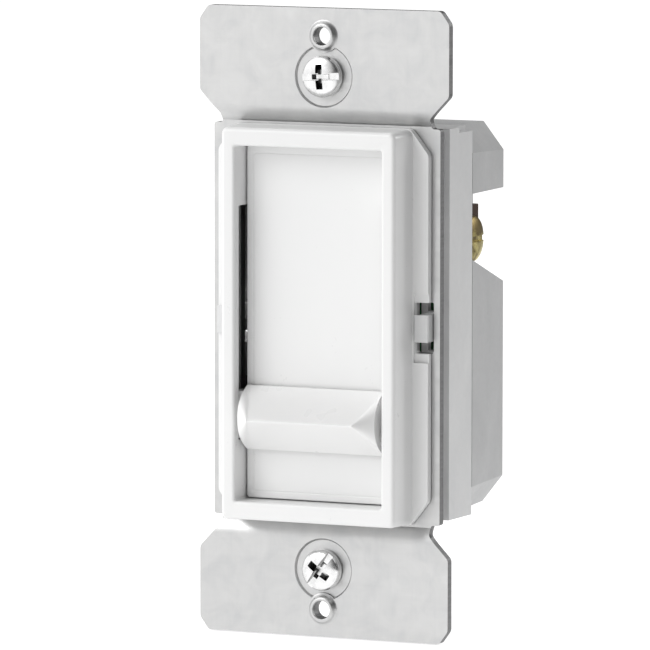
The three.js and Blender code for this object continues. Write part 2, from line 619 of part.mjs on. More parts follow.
function terminalClamp() {
  return cut(
    box([16.35, 16.95], [TERMINAL.y - 3.6, TERMINAL.y + 3.6], [TERMINAL.z - 3.4, TERMINAL.z + 3.6]),
    rodX([2.05, 2.05], [14, 18], [TERMINAL.y, TERMINAL.z]));
}

// A slotted screw along X, head outwards.
function slottedScrewX(headRadius, seat, headTop, shankRadius, tip, at) {
  const rim = seat + (headTop - seat) * 0.6;
  const body = join(
    rodX([headRadius, headRadius], [seat, rim], at),
    rodX([headRadius, headRadius * 0.75], [rim, headTop], at),
    rodX([shankRadius, shankRadius], [tip, seat + 0.2], at));
  const [y, z] = at;
  const reach = headRadius + 1;
  const slot = box([headTop - 1.0, headTop + 1], [y - reach, y + reach], [z - 0.5, z + 0.5]);
  return cut(body, slot);
}

function retainingWasher(end) {
  const z = end * BOX_SCREW_Z;
  return cut(
    plateY(fourfold(roundQuarter(4.3, 4.3, 1)).map(([x, dz]) => [x, z + dz]), 0.25, 1.05),
    rodY([2.0, 2.0], [-1, 2], [0, z]));
}

// ---------------------------------------------------------------- assembly
add('mounting_yoke', 'strap', mountingYoke());
add('bezel', 'white', bezel());
add('track_panel', 'white', trackPanel());
add('slider_knob', 'white', sliderKnob());
add('slider_carriage', 'black', sliderCarriage());

add('fader_case', 'steel', faderCase());
add('fader_base', 'phenolic', faderBase());
add('fader_lever', 'black', faderLever());
add('fader_wiper', 'copper', faderWiper());

add('switch_base', 'black', switchBase());
['line', 'load'].forEach((pole, i) => {
  add(`switch_contact_${pole}`, 'copper', switchContact(SWITCH_STRIP.x[i]));
});
add('switch_bridge', 'copper', switchBridge());

add('circuit_board', 'board', circuitBoard());
add('triac', 'black', triac());
add('triac_pad', 'grey', triacPad());
add('triac_rivet', 'steel', triacRivet());
add('choke_core', 'ferrite', chokeCore());
add('choke_winding', 'copper', chokeWinding());
add('filter_capacitor', 'yellow', box([-8.8, 8.8], [BOARD.back + SEAM, 22.6], [-11.8, -4.8]));
add('timing_capacitor', 'yellow', box([-6, 1.4], [BOARD.back + SEAM, 19.2], [-2.6, 2.4]));
RESISTOR.z.forEach((z, i) => add(`resistor_${i + 1}`, 'blue', axialPart(RESISTOR, z)));
add('diac', 'blue', axialPart(DIAC, DIAC.z));

add('front_body', 'housing', frontBody());
add('rear_cover', 'housing', rearCover());
ENDS.forEach(([endName, end]) => SIDES.forEach(([sideName, side]) => {
  add(`housing_screw_${endName}_${sideName}`, 'steel', housingScrew(side * POST.x, end * POST.z));
}));

const terminalHead = slottedScrewX(
  TERMINAL.headRadius, 17.1, 19.2, 1.75, NOTCH.floorX + 0.25, [TERMINAL.y, TERMINAL.z]);
SIDES.forEach(([name, side]) => {
  add(`terminal_plate_${name}`, 'brass', onSide(terminalPlate(), side));
  add(`terminal_clamp_${name}`, 'brass', onSide(terminalClamp(), side));
  add(`terminal_screw_${name}`, 'brass', onSide(terminalHead, side));
});
const groundHead = slottedScrewX(GROUND.headRadius, 21.1, 22.7, 1.6, 18.1, [GROUND.y, GROUND.z]);
add('ground_screw', 'green', mirrorX(groundHead));

ENDS.forEach(([name, end]) => {
  const angle = end > 0 ? -0.15 : -1.1;
  const seat = -SHEET + EAR_RECESS.depth - SEAM;
  const screw = crossHeadY(3.5, seat - 2.3, seat, 1.75, 17.6, [0, end * BOX_SCREW_Z], angle);
  add(`mounting_screw_${name}`, 'steel', screw);
  add(`screw_washer_${name}`, 'fibre', retainingWasher(end));
});

export default dimmer;
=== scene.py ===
"""Slide dimmer for a wall box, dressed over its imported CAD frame.

Metres in Blender, millimetres in the helpers. X to the right, Y into the wall, Z up.
"""
import math
from contextlib import contextmanager

import bmesh
import bpy
from mathutils import Matrix, Vector


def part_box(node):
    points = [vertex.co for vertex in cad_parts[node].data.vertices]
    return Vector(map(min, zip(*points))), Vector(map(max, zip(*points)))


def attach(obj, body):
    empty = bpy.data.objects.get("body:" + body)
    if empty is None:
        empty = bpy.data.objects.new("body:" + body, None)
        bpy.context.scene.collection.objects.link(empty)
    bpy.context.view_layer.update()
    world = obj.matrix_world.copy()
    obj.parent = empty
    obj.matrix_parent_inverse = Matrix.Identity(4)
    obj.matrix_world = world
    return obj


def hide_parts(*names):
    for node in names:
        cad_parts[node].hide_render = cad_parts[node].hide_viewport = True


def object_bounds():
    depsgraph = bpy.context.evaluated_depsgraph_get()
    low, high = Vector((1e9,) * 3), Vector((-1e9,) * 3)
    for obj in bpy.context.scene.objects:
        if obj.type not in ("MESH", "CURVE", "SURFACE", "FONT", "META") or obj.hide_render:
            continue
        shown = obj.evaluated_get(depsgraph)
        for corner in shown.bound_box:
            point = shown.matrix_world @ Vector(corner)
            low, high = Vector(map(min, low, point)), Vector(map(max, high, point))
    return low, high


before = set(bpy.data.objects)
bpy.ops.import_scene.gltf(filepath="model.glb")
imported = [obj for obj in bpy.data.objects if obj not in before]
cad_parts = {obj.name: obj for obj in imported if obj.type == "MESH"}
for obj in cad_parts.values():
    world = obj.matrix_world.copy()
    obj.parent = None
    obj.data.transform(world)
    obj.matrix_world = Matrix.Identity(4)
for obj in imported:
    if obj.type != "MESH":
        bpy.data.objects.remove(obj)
cad_low, cad_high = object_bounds()

MM = 0.001
BODY, SLIDER = "dimmer_body", "slider"


# ------------------------------------------------------------------ mesh helpers
def box_mm(node):
    """Lowest and highest corner of a CAD node, in millimetres."""
    low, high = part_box(node)
    return low / MM, high / MM


@contextmanager
def editing(mesh):
    """A mesh opened for editing, and written back at the end."""
    bm = bmesh.new()
    bm.from_mesh(mesh)
    yield bm
    bm.to_mesh(mesh)
    bm.free()


def linked(name, data):
    """A new object in the scene."""
    obj = bpy.data.objects.new(name, data)
    bpy.context.scene.collection.objects.link(obj)
    return obj


def make(name, verts, faces):
    """An object from points in millimetres, with coincident points merged."""
    mesh = bpy.data.meshes.new(name)
    mesh.from_pydata([Vector(v) * MM for v in verts], [], faces)
    with editing(mesh) as bm:
        bmesh.ops.remove_doubles(bm, verts=bm.verts, dist=2e-7)
        bmesh.ops.recalc_face_normals(bm, faces=bm.faces)
    return linked(name, mesh)


def loft(name, rings, closed=False):
    """A skin over equal rings, capped at both ends or, if closed, joined from last to first."""
    count = len(rings[0])
    faces = []
    for i in range(len(rings) if closed else len(rings) - 1):
        j = (i + 1) % len(rings)
        for k in range(count):
            m = (k + 1) % count
            faces.append((i * count + k, i * count + m, j * count + m, j * count + k))
    if not closed:
        last = (len(rings) - 1) * count
        faces += [tuple(range(count)), tuple(range(last, last + count))]
    return make(name, [p for ring in rings for p in ring], faces)


def block(name, x, y, z):
    """A plain box, used as a cutter or as the start of a rounded part."""
    ring = [(x[0], z[0]), (x[1], z[0]), (x[1], z[1]), (x[0], z[1])]
    return loft(name, [[(a, depth, b) for a, b in ring] for depth in y])


def circle(axis, depth, centre, radius, sides, turn=0.0):
    """A ring around an axis: centre is (x, z) about Y and (y, z) about X."""
    points = []
    for k in range(sides):
        angle = 2 * math.pi * k / sides + turn
        a = centre[0] + radius * math.cos(angle)
        b = centre[1] + radius * math.sin(angle)
        points.append((a, depth, b) if axis == "Y" else (depth, a, b))
    return points


def turned(name, axis, centre, profile, sides=40, closed=False):
    """A turned part from (radius, depth) points."""
    rings = [circle(axis, depth, centre, radius, sides) for radius, depth in profile]
    return loft(name, rings, closed)


def rounded(half_w, half_h, radius, y, steps=6, centre=(0, 0)):
    """A rounded rectangle of points facing the front."""
    points = []
    for corner, (sx, sz) in enumerate(((1, 1), (-1, 1), (-1, -1), (1, -1))):
        for i in range(steps + 1):
            angle = math.pi / 2 * (corner + i / steps)
            points.append((
                centre[0] + sx * (half_w - radius) + radius * math.cos(angle), y,
                centre[1] + sz * (half_h - radius) + radius * math.sin(angle)))
    return points


def filleted(points, radius, steps=4):
    """A 2-D outline with every corner eased by a short curve."""
    out = []
    for i, (x, z) in enumerate(points):
        here = Vector((x, z))
        back = Vector(points[i - 1]) - here
        ahead = Vector(points[(i + 1) % len(points)]) - here
        reach = min(radius, back.length * 0.45, ahead.length * 0.45)
        start, end = here + back.normalized() * reach, here + ahead.normalized() * reach
        for k in range(steps + 1):
            t = k / steps
            point = start * (1 - t) ** 2 + here * (2 * t * (1 - t)) + end * t ** 2
            out.append((point.x, point.y))
    return out


def fourfold(corner):
    """A closed outline from the points of its upper right quarter."""
    back = corner[::-1]
    return (corner + [(-x, z) for x, z in back]
            + [(-x, -z) for x, z in corner] + [(x, -z) for x, z in back])


def quarter(radius, steps, first=0):
    """(inset, depth) pairs round an edge of that radius, from its side to its face."""
    angles = [math.pi / 2 * i / steps for i in range(first, steps + 1)]
    return [(radius * (1 - math.cos(a)), radius * (1 - math.sin(a))) for a in angles]


def apply_modifiers(obj):
    """The object's own mesh becomes what its modifiers make of it."""
    graph = bpy.context.evaluated_depsgraph_get()
    mesh = bpy.data.meshes.new_from_object(obj.evaluated_get(graph))
    obj.modifiers.clear()
    obj.data = mesh


def carve(obj, cutters, operation="DIFFERENCE"):
    """Cuts, joins or meets obj with each cutter, which then goes away."""
    for cutter in cutters:
        mod = obj.modifiers.new("carve", "BOOLEAN")
        mod.object, mod.operation, mod.solver = cutter, operation, "EXACT"
        apply_modifiers(obj)
        bpy.data.objects.remove(cutter)
    return obj


def merge(first, *others):
    """One object that holds the meshes of all, each still a closed shell."""
    with editing(first.data) as bm:
        for other in others:
            bm.from_mesh(other.data)
            bpy.data.objects.remove(other)
    return first


def crease(obj, degrees=32):
    """Smooth shading, with edges over an angle kept sharp."""
    with editing(obj.data) as bm:
        for face in bm.faces:
            face.smooth = True
        for edge in bm.edges:
            edge.smooth = not edge.is_manifold or edge.calc_face_angle(0) < math.radians(degrees)
    weigh(obj)


def weigh(obj):
    """Normals that lean towards the larger faces, so that level faces are shaded level."""
    mod = obj.modifiers.new("weigh", "WEIGHTED_NORMAL")
    mod.keep_sharp = True


def ease(obj, width, segments=2, degrees=32):
    """A small radius on every edge sharper than an angle, shaded smooth."""
    obj.data.shade_smooth()
    bevel(obj, width, segments, degrees)
    weigh(obj)


def bevel(obj, width, segments, degrees):
    """A rounded edge, its width in millimetres, wherever two faces meet past an angle."""
    mod = obj.modifiers.new("ease", "BEVEL")
    mod.width, mod.segments = width * MM, segments
    mod.limit_method, mod.angle_limit = "ANGLE", math.radians(degrees)
    mod.miter_outer = "MITER_ARC"
    mod.use_clamp_overlap = True


def settle(obj, material, body, nodes):
    """A finished new piece: its material, its body, and the CAD nodes it stands for."""
    obj.data.materials.clear()
    obj.data.materials.append(material)
    for polygon in obj.data.polygons:
        polygon.material_index = 0
    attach(obj, body)
    if nodes:
        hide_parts(*nodes)


def dress(node, material, width, segments=2, cutters=()):
    """A CAD node kept as it is, with eased edges, optional shallow details and its finish."""
    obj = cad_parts[node]
    if "custom_normal" in obj.data.attributes:
        obj.data.attributes.remove(obj.data.attributes["custom_normal"])
    weld = obj.modifiers.new("weld", "WELD")
    weld.merge_threshold = 1e-6
    for cutter in cutters:
        cutter.hide_render = cutter.hide_viewport = True
        mod = obj.modifiers.new("detail", "BOOLEAN")
        mod.object, mod.solver = cutter, "EXACT"
    level = obj.modifiers.new("level", "DECIMATE")
    level.decimate_type, level.angle_limit = "DISSOLVE", math.radians(1)
    ease(obj, width, segments)
    obj.data.materials.clear()
    obj.data.materials.append(material)
    for polygon in obj.data.polygons:
        polygon.material_index = 0


# ------------------------------------------------------------------ material helpers
class Finish:
    """A Principled material whose patterns are sized in millimetres of the piece's own space."""

    def __init__(self, name, **sockets):
        self.mat = bpy.data.materials.new(name)
        self.mat.use_nodes = True
        self.tree = self.mat.node_tree
        self.shader = self.tree.nodes["Principled BSDF"]
        self.own = self.tree.nodes.new("ShaderNodeTexCoord").outputs["Object"]
        for socket, value in sockets.items():
            self.shader.inputs[socket.replace("_", " ")].default_value = value

    def node(self, kind, links=None, **settings):
        """A new node: links holds a socket or a plain value for each of its inputs."""
        made = self.tree.nodes.new(kind)
        for key, value in settings.items():
            setattr(made, key, value)
        for key, value in (links or {}).items():
            if isinstance(value, bpy.types.NodeSocket):
                self.tree.links.new(value, made.inputs[key])
            else:
                made.inputs[key].default_value = value
        return made

    def stretched(self, scale):
        """The piece's own space scaled along X, Y and Z; a low scale draws a pattern out."""
        return self.node("ShaderNodeMapping", {"Vector": self.own, "Scale": scale}).outputs[0]

    def noise(self, size, detail=3.0, rough=0.55, stretch=None, warp=0.0):
        """Soft blotches about size millimetres across, from 0 to 1."""
        where = self.stretched(stretch) if stretch else self.own
        return self.node("ShaderNodeTexNoise", {
            "Vector": where, "Scale": 1000 / size, "Detail": detail, "Roughness": rough,
            "Distortion": warp}).outputs["Fac"]

    def cells(self, size, feature="F1", distance="EUCLIDEAN"):
        """Distance from the middles of cells about size millimetres across."""
        return self.node(
            "ShaderNodeTexVoronoi", {"Vector": self.own, "Scale": 1000 / size},
            feature=feature, distance=distance).outputs["Distance"]

    def axis(self, letter):
        """The place along one axis, in metres."""
        split = self.node("ShaderNodeSeparateXYZ", {"Vector": self.own})
        return split.outputs[letter]

    def spread(self, value, low, high, start=0.0, end=1.0):
        """A value from start to end, restated from low to high."""
        return self.node("ShaderNodeMapRange", {
            "Value": value, "From Min": start, "From Max": end,
            "To Min": low, "To Max": high}).outputs[0]

    def math(self, operation, a, b=0.0):
        """The result of a sum on two sockets or values."""
        made = self.node("ShaderNodeMath", operation=operation)
        for i, value in enumerate((a, b)):
            if isinstance(value, bpy.types.NodeSocket):
                self.tree.links.new(value, made.inputs[i])
            else:
                made.inputs[i].default_value = value
        return made.outputs[0]

    def ramp(self, value, stops, smooth=True):
        """A colour for each value, from (place, colour) stops."""
        made = self.node("ShaderNodeValToRGB", {"Fac": value})
        made.color_ramp.interpolation = "LINEAR" if smooth else "CONSTANT"
        points = made.color_ramp.elements
        while len(points) < len(stops):
            points.new(0.5)
        for point, (place, colour) in zip(points, stops):
            point.position, point.color = place, (*colour, 1.0)
        return made.outputs["Color"]

    def tones(self, value, dark, light):
        """Colour from dark to light as a pattern goes from 0.3 to 0.7."""
        return self.colour(self.ramp(value, [(0.3, dark), (0.7, light)]))

    def dullness(self, value, low, high):
        """Roughness from low to high as a pattern goes from 0.3 to 0.7."""
        return self.roughness(self.spread(value, low, high, 0.3, 0.7))

    def colour(self, socket):
        self.tree.links.new(socket, self.shader.inputs["Base Color"])
        return self

    def roughness(self, socket):
        self.tree.links.new(socket, self.shader.inputs["Roughness"])
        return self

    def relief(self, *layers):
        """Bumps, each (height socket, depth in millimetres), laid over each other."""
        normal = None
        for height, depth in layers:
            links = {"Height": height, "Strength": 1.0, "Distance": depth * MM}
            if normal is not None:
                links["Normal"] = normal
            normal = self.node("ShaderNodeBump", links).outputs[0]
        self.tree.links.new(normal, self.shader.inputs["Normal"])
        return self


def grey(level):
    """A neutral colour."""
    return (level, level, level)


# ------------------------------------------------------------------ finishes
def white_plastic():
    """Glossy white moulding: faint sink and flow shading, light handling marks in the gloss."""
    f = Finish("white_moulding", Specular_IOR_Level=0.5, IOR=1.5)
    flow = f.noise(22, 2, stretch=(1, 1, 0.4))
    f.colour(f.ramp(flow, [(0.25, (0.775, 0.777, 0.777)), (0.75, (0.80, 0.80, 0.796))]))
    haze = f.math("MULTIPLY", f.noise(5, 3), f.noise(0.6, 2))
    f.roughness(f.spread(haze, 0.27, 0.42, 0.1, 0.5))
    return f.relief((f.noise(3.5, 2), 0.006), (f.noise(0.35, 2), 0.0012)).mat


def grip_plastic():
    """The grip's white: the same moulding, a little glossier where fingers polish it."""
    f = Finish("white_grip", Specular_IOR_Level=0.5, IOR=1.5)
    f.tones(f.noise(14, 2), (0.80, 0.80, 0.797), (0.82, 0.82, 0.816))
    f.dullness(f.noise(6, 2), 0.27, 0.33)
    return f.relief((f.noise(5, 1), 0.003)).mat


def housing_plastic(name, low, high):
    """Matt grey-white housing: spark-eroded grain, flow lines and a slightly mottled tone."""
    f = Finish(name, Specular_IOR_Level=0.4, IOR=1.5)
    mottle = f.math("ADD", f.math("MULTIPLY", f.noise(9, 3, stretch=(1, 1, 0.5), warp=0.6), 0.7),
                    f.math("MULTIPLY", f.noise(1.1, 3), 0.3))
    f.tones(mottle, low, high)
    f.roughness(f.spread(f.noise(0.5, 3), 0.45, 0.65, 0.25, 0.75))
    grain = f.cells(0.22, feature="SMOOTH_F1")
    return f.relief((f.noise(6, 2), 0.012), (grain, 0.006), (f.noise(0.12, 3), 0.004)).mat


def strap_metal():
    """Zinc-plated sheet: rolled grain along the strap, faint spangle, fine rubs and pits."""
    f = Finish("plated_sheet", Metallic=1.0)
    rolled = f.noise(0.35, 3, stretch=(1, 1, 0.06))
    spangle = f.noise(4.5, 3, warp=0.8)
    tone = f.math("ADD", f.math("MULTIPLY", rolled, 0.25), f.math("MULTIPLY", spangle, 0.75))
    f.colour(f.ramp(tone, [(0.3, (0.53, 0.534, 0.538)), (0.52, (0.58, 0.58, 0.578)),
                           (0.75, (0.62, 0.62, 0.617))]))
    rubs = f.noise(1.2, 5, stretch=(0.12, 1, 1), warp=0.4)
    f.roughness(f.spread(f.math("ADD", rubs, f.math("MULTIPLY", rolled, 0.5)), 0.3, 0.52, 0.5, 1.0))
    pits = f.spread(f.cells(0.9), 0.0, 1.0, 0.0, 0.25)
    return f.relief((rolled, 0.0015), (pits, 0.002), (f.noise(7, 2), 0.01)).mat


def sheared_and_shade_metal():
    """The strap's cut edges: bare dark steel with burnish lines and a dull broken band; the same steel
    stands as painted shade on the hook windows' walls.
    """
    f = Finish("sheared_edge_and_shade", Metallic=0.9)
    streaks = f.noise(0.4, 4, stretch=(1, 0.1, 1))
    f.tones(streaks, (0.15, 0.15, 0.152), (0.26, 0.26, 0.26))
    f.dullness(streaks, 0.42, 0.62)
    return f.relief((streaks, 0.006)).mat


def plated_steel(name, axis, tint=(1.0, 1.0, 1.0)):
    """Bright nickel-plated screw: turning rings about its own axis and dull patches."""
    f = Finish(name, Metallic=1.0)
    split = f.node("ShaderNodeSeparateXYZ", {"Vector": f.own})
    pair = {"Y": ("X", "Z"), "X": ("Y", "Z")}[axis]
    squares = [f.math("POWER", split.outputs[p], 2.0) for p in pair]
    radius = f.math("SQRT", f.math("ADD", *squares))
    rings = f.math("SINE", f.math("MULTIPLY", radius, 2 * math.pi / (0.16 * MM)))
    patch = f.noise(1.6, 4)
    light = tuple(0.86 * c for c in tint)
    dark = tuple(0.66 * c for c in tint)
    f.colour(f.ramp(patch, [(0.3, dark), (0.6, light)]))
    f.roughness(f.spread(f.noise(0.7, 4), 0.13, 0.3, 0.3, 0.75))
    return f.relief((rings, 0.0008), (f.noise(0.4, 3), 0.002)).mat


def brass(name, bright, dull, rough):
    """Screw brass with brown tarnish in patches, and painted shade that darkens it towards the top of
    the piece.
    """
    f = Finish(name, Metallic=1.0)
    # painted shade: darker towards the top, where the notch above shades the screw
    painted_top_shade = f.spread(f.axis("Z"), 0.0, 0.3, -0.5 * MM, 2.5 * MM)
    patch = f.math("SUBTRACT", f.noise(1.8, 5, warp=0.7), painted_top_shade)
    f.colour(f.ramp(patch, [(0.32, dull), (0.5, tuple((a + b) / 2 for a, b in zip(bright, dull))),
                            (0.68, bright)]))
    f.dullness(patch, rough + 0.2, rough)
    return f.relief((f.noise(0.5, 4, stretch=(1, 1, 0.15)), 0.003)).mat


def dyed_green():
    """Green-dyed steel ground screw, worn back to metal in small rubs."""
    f = Finish("green_plating", Metallic=0.75)
    rub = f.noise(1.1, 5, warp=0.5)
    f.colour(f.ramp(rub, [(0.3, (0.02, 0.16, 0.06)), (0.66, (0.05, 0.30, 0.12)),
                          (0.8, (0.5, 0.56, 0.5))]))
    f.roughness(f.spread(rub, 0.42, 0.26, 0.3, 0.8))
    return f.relief((f.noise(0.5, 3), 0.003)).mat


def copper_leaf():
    """Phosphor-bronze and copper leaf: rolled grain and light oxide."""
    f = Finish("copper_leaf", Metallic=1.0)
    grain = f.noise(0.8, 4, stretch=(1, 1, 0.08))
    f.tones(grain, (0.55, 0.26, 0.13), (0.83, 0.46, 0.27))
    f.dullness(f.noise(2.5, 3), 0.25, 0.45)
    return f.relief((grain, 0.003)).mat


def enamelled_wire():
    """Enamelled magnet wire: deep copper under a glossy amber coat."""
    f = Finish("enamelled_wire", Metallic=0.85, Coat_Weight=0.6, Coat_Roughness=0.12)
    tone = f.noise(3, 3)
    f.tones(tone, (0.42, 0.13, 0.05), (0.62, 0.24, 0.09))
    f.dullness(f.noise(0.5, 3), 0.22, 0.38)
    return f.relief((f.noise(0.4, 2), 0.002)).mat


def black_plastic():
    """Black engineering plastic with a fine satin grain."""
    f = Finish("black_moulding", Specular_IOR_Level=0.45, IOR=1.5)
    f.tones(f.noise(5, 3), grey(0.012), grey(0.022))
    f.dullness(f.noise(0.4, 3), 0.38, 0.58)
    return f.relief((f.cells(0.2, feature="SMOOTH_F1"), 0.005)).mat


def phenolic_track():
    """Brown phenolic base with a dark resistive track printed down its middle."""
    f = Finish("phenolic_base", Specular_IOR_Level=0.4, IOR=1.5)
    fibre = f.noise(0.7, 4, stretch=(1, 1, 0.1))
    sheet = f.ramp(fibre, [(0.3, (0.16, 0.075, 0.03)), (0.7, (0.27, 0.14, 0.065))])
    from_middle = f.math("ABSOLUTE", f.axis("X"))
    track = f.math("LESS_THAN", from_middle, 1.4 * MM)
    ink = f.ramp(f.noise(0.3, 3), [(0.3, grey(0.008)), (0.7, grey(0.02))])
    f.colour(mixed(f, track, sheet, ink))
    f.dullness(fibre, 0.4, 0.6)
    return f.relief((fibre, 0.004)).mat


def mixed(f, factor, a, b):
    """One colour where the factor is 0 and the other where it is 1."""
    mix = f.node("ShaderNodeMix", {0: factor}, data_type="RGBA")
    f.tree.links.new(a, mix.inputs[6])
    f.tree.links.new(b, mix.inputs[7])
    return mix.outputs[2]


def board_mask():
    """Green solder mask over blocky copper lands, glass weave just showing."""
    f = Finish("board_mask", Specular_IOR_Level=0.5, IOR=1.5, Coat_Weight=0.25, Coat_Roughness=0.2)
    lands = f.cells(3.6, distance="CHEBYCHEV")
    edge = f.spread(lands, 0.0, 1.0, 0.40, 0.43)
    weave = f.noise(0.35, 2, stretch=(1, 1, 0.35))
    mask = f.ramp(weave, [(0.3, (0.012, 0.085, 0.028)), (0.7, (0.02, 0.115, 0.04))])
    over = f.ramp(weave, [(0.3, (0.035, 0.17, 0.06)), (0.7, (0.045, 0.2, 0.075))])
    f.colour(mixed(f, edge, over, mask))
    f.dullness(f.noise(1.5, 3), 0.24, 0.4)
    return f.relief((f.math("SUBTRACT", 1.0, edge), 0.03), (weave, 0.003)).mat


def silicone_pad():
    """Grey silicone pad with its glass weave printed through."""
    f = Finish("silicone_pad", Specular_IOR_Level=0.3, IOR=1.42)
    warp = f.math("SINE", f.math("MULTIPLY", f.axis("X"), 2 * math.pi / (0.5 * MM)))
    weft = f.math("SINE", f.math("MULTIPLY", f.axis("Z"), 2 * math.pi / (0.5 * MM)))
    weave = f.spread(f.math("MULTIPLY", warp, weft), 0.0, 1.0, -1.0, 1.0)
    tone = f.math("ADD", f.math("MULTIPLY", weave, 0.5), f.math("MULTIPLY", f.noise(2, 3), 0.5))
    f.colour(f.ramp(tone, [(0.25, grey(0.24)), (0.75, grey(0.36))]))
    f.dullness(f.noise(0.8, 3), 0.55, 0.72)
    return f.relief((weave, 0.01)).mat


def ferrite():
    """Sintered ferrite: matt charcoal with a gritty skin and chipped specks."""
    f = Finish("sintered_ferrite", Specular_IOR_Level=0.35, IOR=1.6)
    f.colour(f.ramp(f.noise(0.6, 5), [(0.3, grey(0.018)), (0.62, grey(0.05)), (0.8, grey(0.11))]))
    f.dullness(f.noise(0.4, 4), 0.6, 0.85)
    return f.relief((f.noise(0.25, 5), 0.02)).mat


def capacitor_skin():
    """Yellow film-capacitor box: satin moulding with a slightly sunk middle."""
    f = Finish("capacitor_skin", Specular_IOR_Level=0.5, IOR=1.52)
    f.tones(f.noise(5, 3), (0.66, 0.39, 0.035), (0.76, 0.48, 0.06))
    f.dullness(f.noise(0.7, 3), 0.3, 0.46)
    return f.relief((f.noise(4, 2), 0.03), (f.noise(0.3, 3), 0.004)).mat


def banded(name, base, bands, reach):
    """A lacquered axial component with painted bands across X and tinned leads beyond it."""
    f = Finish(name, Specular_IOR_Level=0.5, IOR=1.52)
    along = f.spread(f.axis("X"), 0.0, 1.0, -8 * MM, 8 * MM)
    tinned = (0.62, 0.62, 0.6)
    stops = [(0.0, tinned), (0.5 - reach / 16, base)]
    for place, width, colour in bands:
        stops += [(0.5 + place / 16, colour), (0.5 + (place + width) / 16, base)]
    stops.append((0.5 + reach / 16, tinned))
    paint = f.ramp(along, stops, smooth=False)
    worn = f.spread(f.noise(0.9, 3), 0.0, 0.18, 0.4, 0.8)
    dust = f.ramp(f.noise(2.0, 2), [(0.3, (0.26, 0.24, 0.21)), (0.7, (0.34, 0.32, 0.29))])
    f.colour(mixed(f, worn, paint, dust))
    f.dullness(f.noise(0.6, 3), 0.22, 0.42)
    return f.relief((f.noise(1.2, 2), 0.01)).mat


def vulcanised_fibre():
    """Pressed fibre washer: fawn, with a random felt of short fibres."""
    f = Finish("pressed_fibre", Specular_IOR_Level=0.25, IOR=1.45)
    felt = f.math("ADD", f.math("MULTIPLY", f.noise(0.5, 4, stretch=(0.15, 1, 1)), 0.5),
                  f.math("MULTIPLY", f.noise(0.5, 4, stretch=(1, 1, 0.15)), 0.5))
    f.colour(f.ramp(felt, [(0.35, (0.36, 0.27, 0.17)), (0.65, (0.55, 0.44, 0.30))]))
    f.dullness(felt, 0.7, 0.9)
    return f.relief((felt, 0.02)).mat


WHITE = white_plastic()
GRIP = grip_plastic()
SHELL = housing_plastic("housing_front", (0.63, 0.632, 0.635), (0.70, 0.702, 0.702))
COVER = housing_plastic("housing_rear", (0.46, 0.463, 0.467), (0.53, 0.532, 0.534))
STRAP = strap_metal()
SHEARED_AND_SHADE = sheared_and_shade_metal()
STEEL = plated_steel("bright_screw", "Y")
# the drive recess: a darkened copy of the screw steel, painted shade
RECESS_SHADE = plated_steel("recess_painted_shade", "Y", (0.22, 0.22, 0.22))
ZINC = plated_steel("zinc_can", "Y", (0.86, 0.86, 0.84))
BRASS = brass("screw_brass", (0.74, 0.64, 0.26), (0.16, 0.12, 0.045), 0.2)
# the terminal plates: a much darker copy of the screw brass, painted shade of the notch they sit in
PLATE_BRASS = brass("shaded_plate_brass", (0.22, 0.14, 0.085), (0.06, 0.036, 0.026), 0.3)
GREEN = dyed_green()
LEAF = copper_leaf()
WIRE = enamelled_wire()
BLACK = black_plastic()
PHENOLIC = phenolic_track()
BOARD = board_mask()
PAD = silicone_pad()
FERRITE = ferrite()
YELLOW = capacitor_skin()
FIBRE = vulcanised_fibre()


# ------------------------------------------------------------------ strap
BOX_SCREW_Z, PLATE_SCREW_Z = 41.65, 48.42
PLATE_HOLE = 1.5                 # radius of the hole for the wall plate's screw
BOX_SLOT = (2.2, 1.1)            # end radius and half straight length of the box screw's slot
SHEET = (-0.8, 0.8)              # front and back of the sheet before it is bent
THROUGH = (-3, 3)                # a cutter's ends, clear of the flat sheet on both sides
WAIST, NECK = (20.8, 33.3), (19.2, 34.9)      # corners of the middle plate and of the step
BEND = (33.7, 36.5)              # |z| where the step to each ear starts and ends
EAR_Y, MIDDLE_Y = -0.8, 0.5      # middle of the sheet at the ears and between them
ARM_SLOT = (14.575, 1.275, 20.5)              # middle, half width and half height
HOOK_WINDOW = (18.05, 1.65, 4.3)              # middle, half width and half height
RIVET_X, RIVET_Z = 4.8, 26.1
GROUND_Y, GROUND_Z = 7.6, -7.5
TAB_X = (-20.8, -19.6)           # both faces of the ground tab
EDGE_ROUND = 0.12


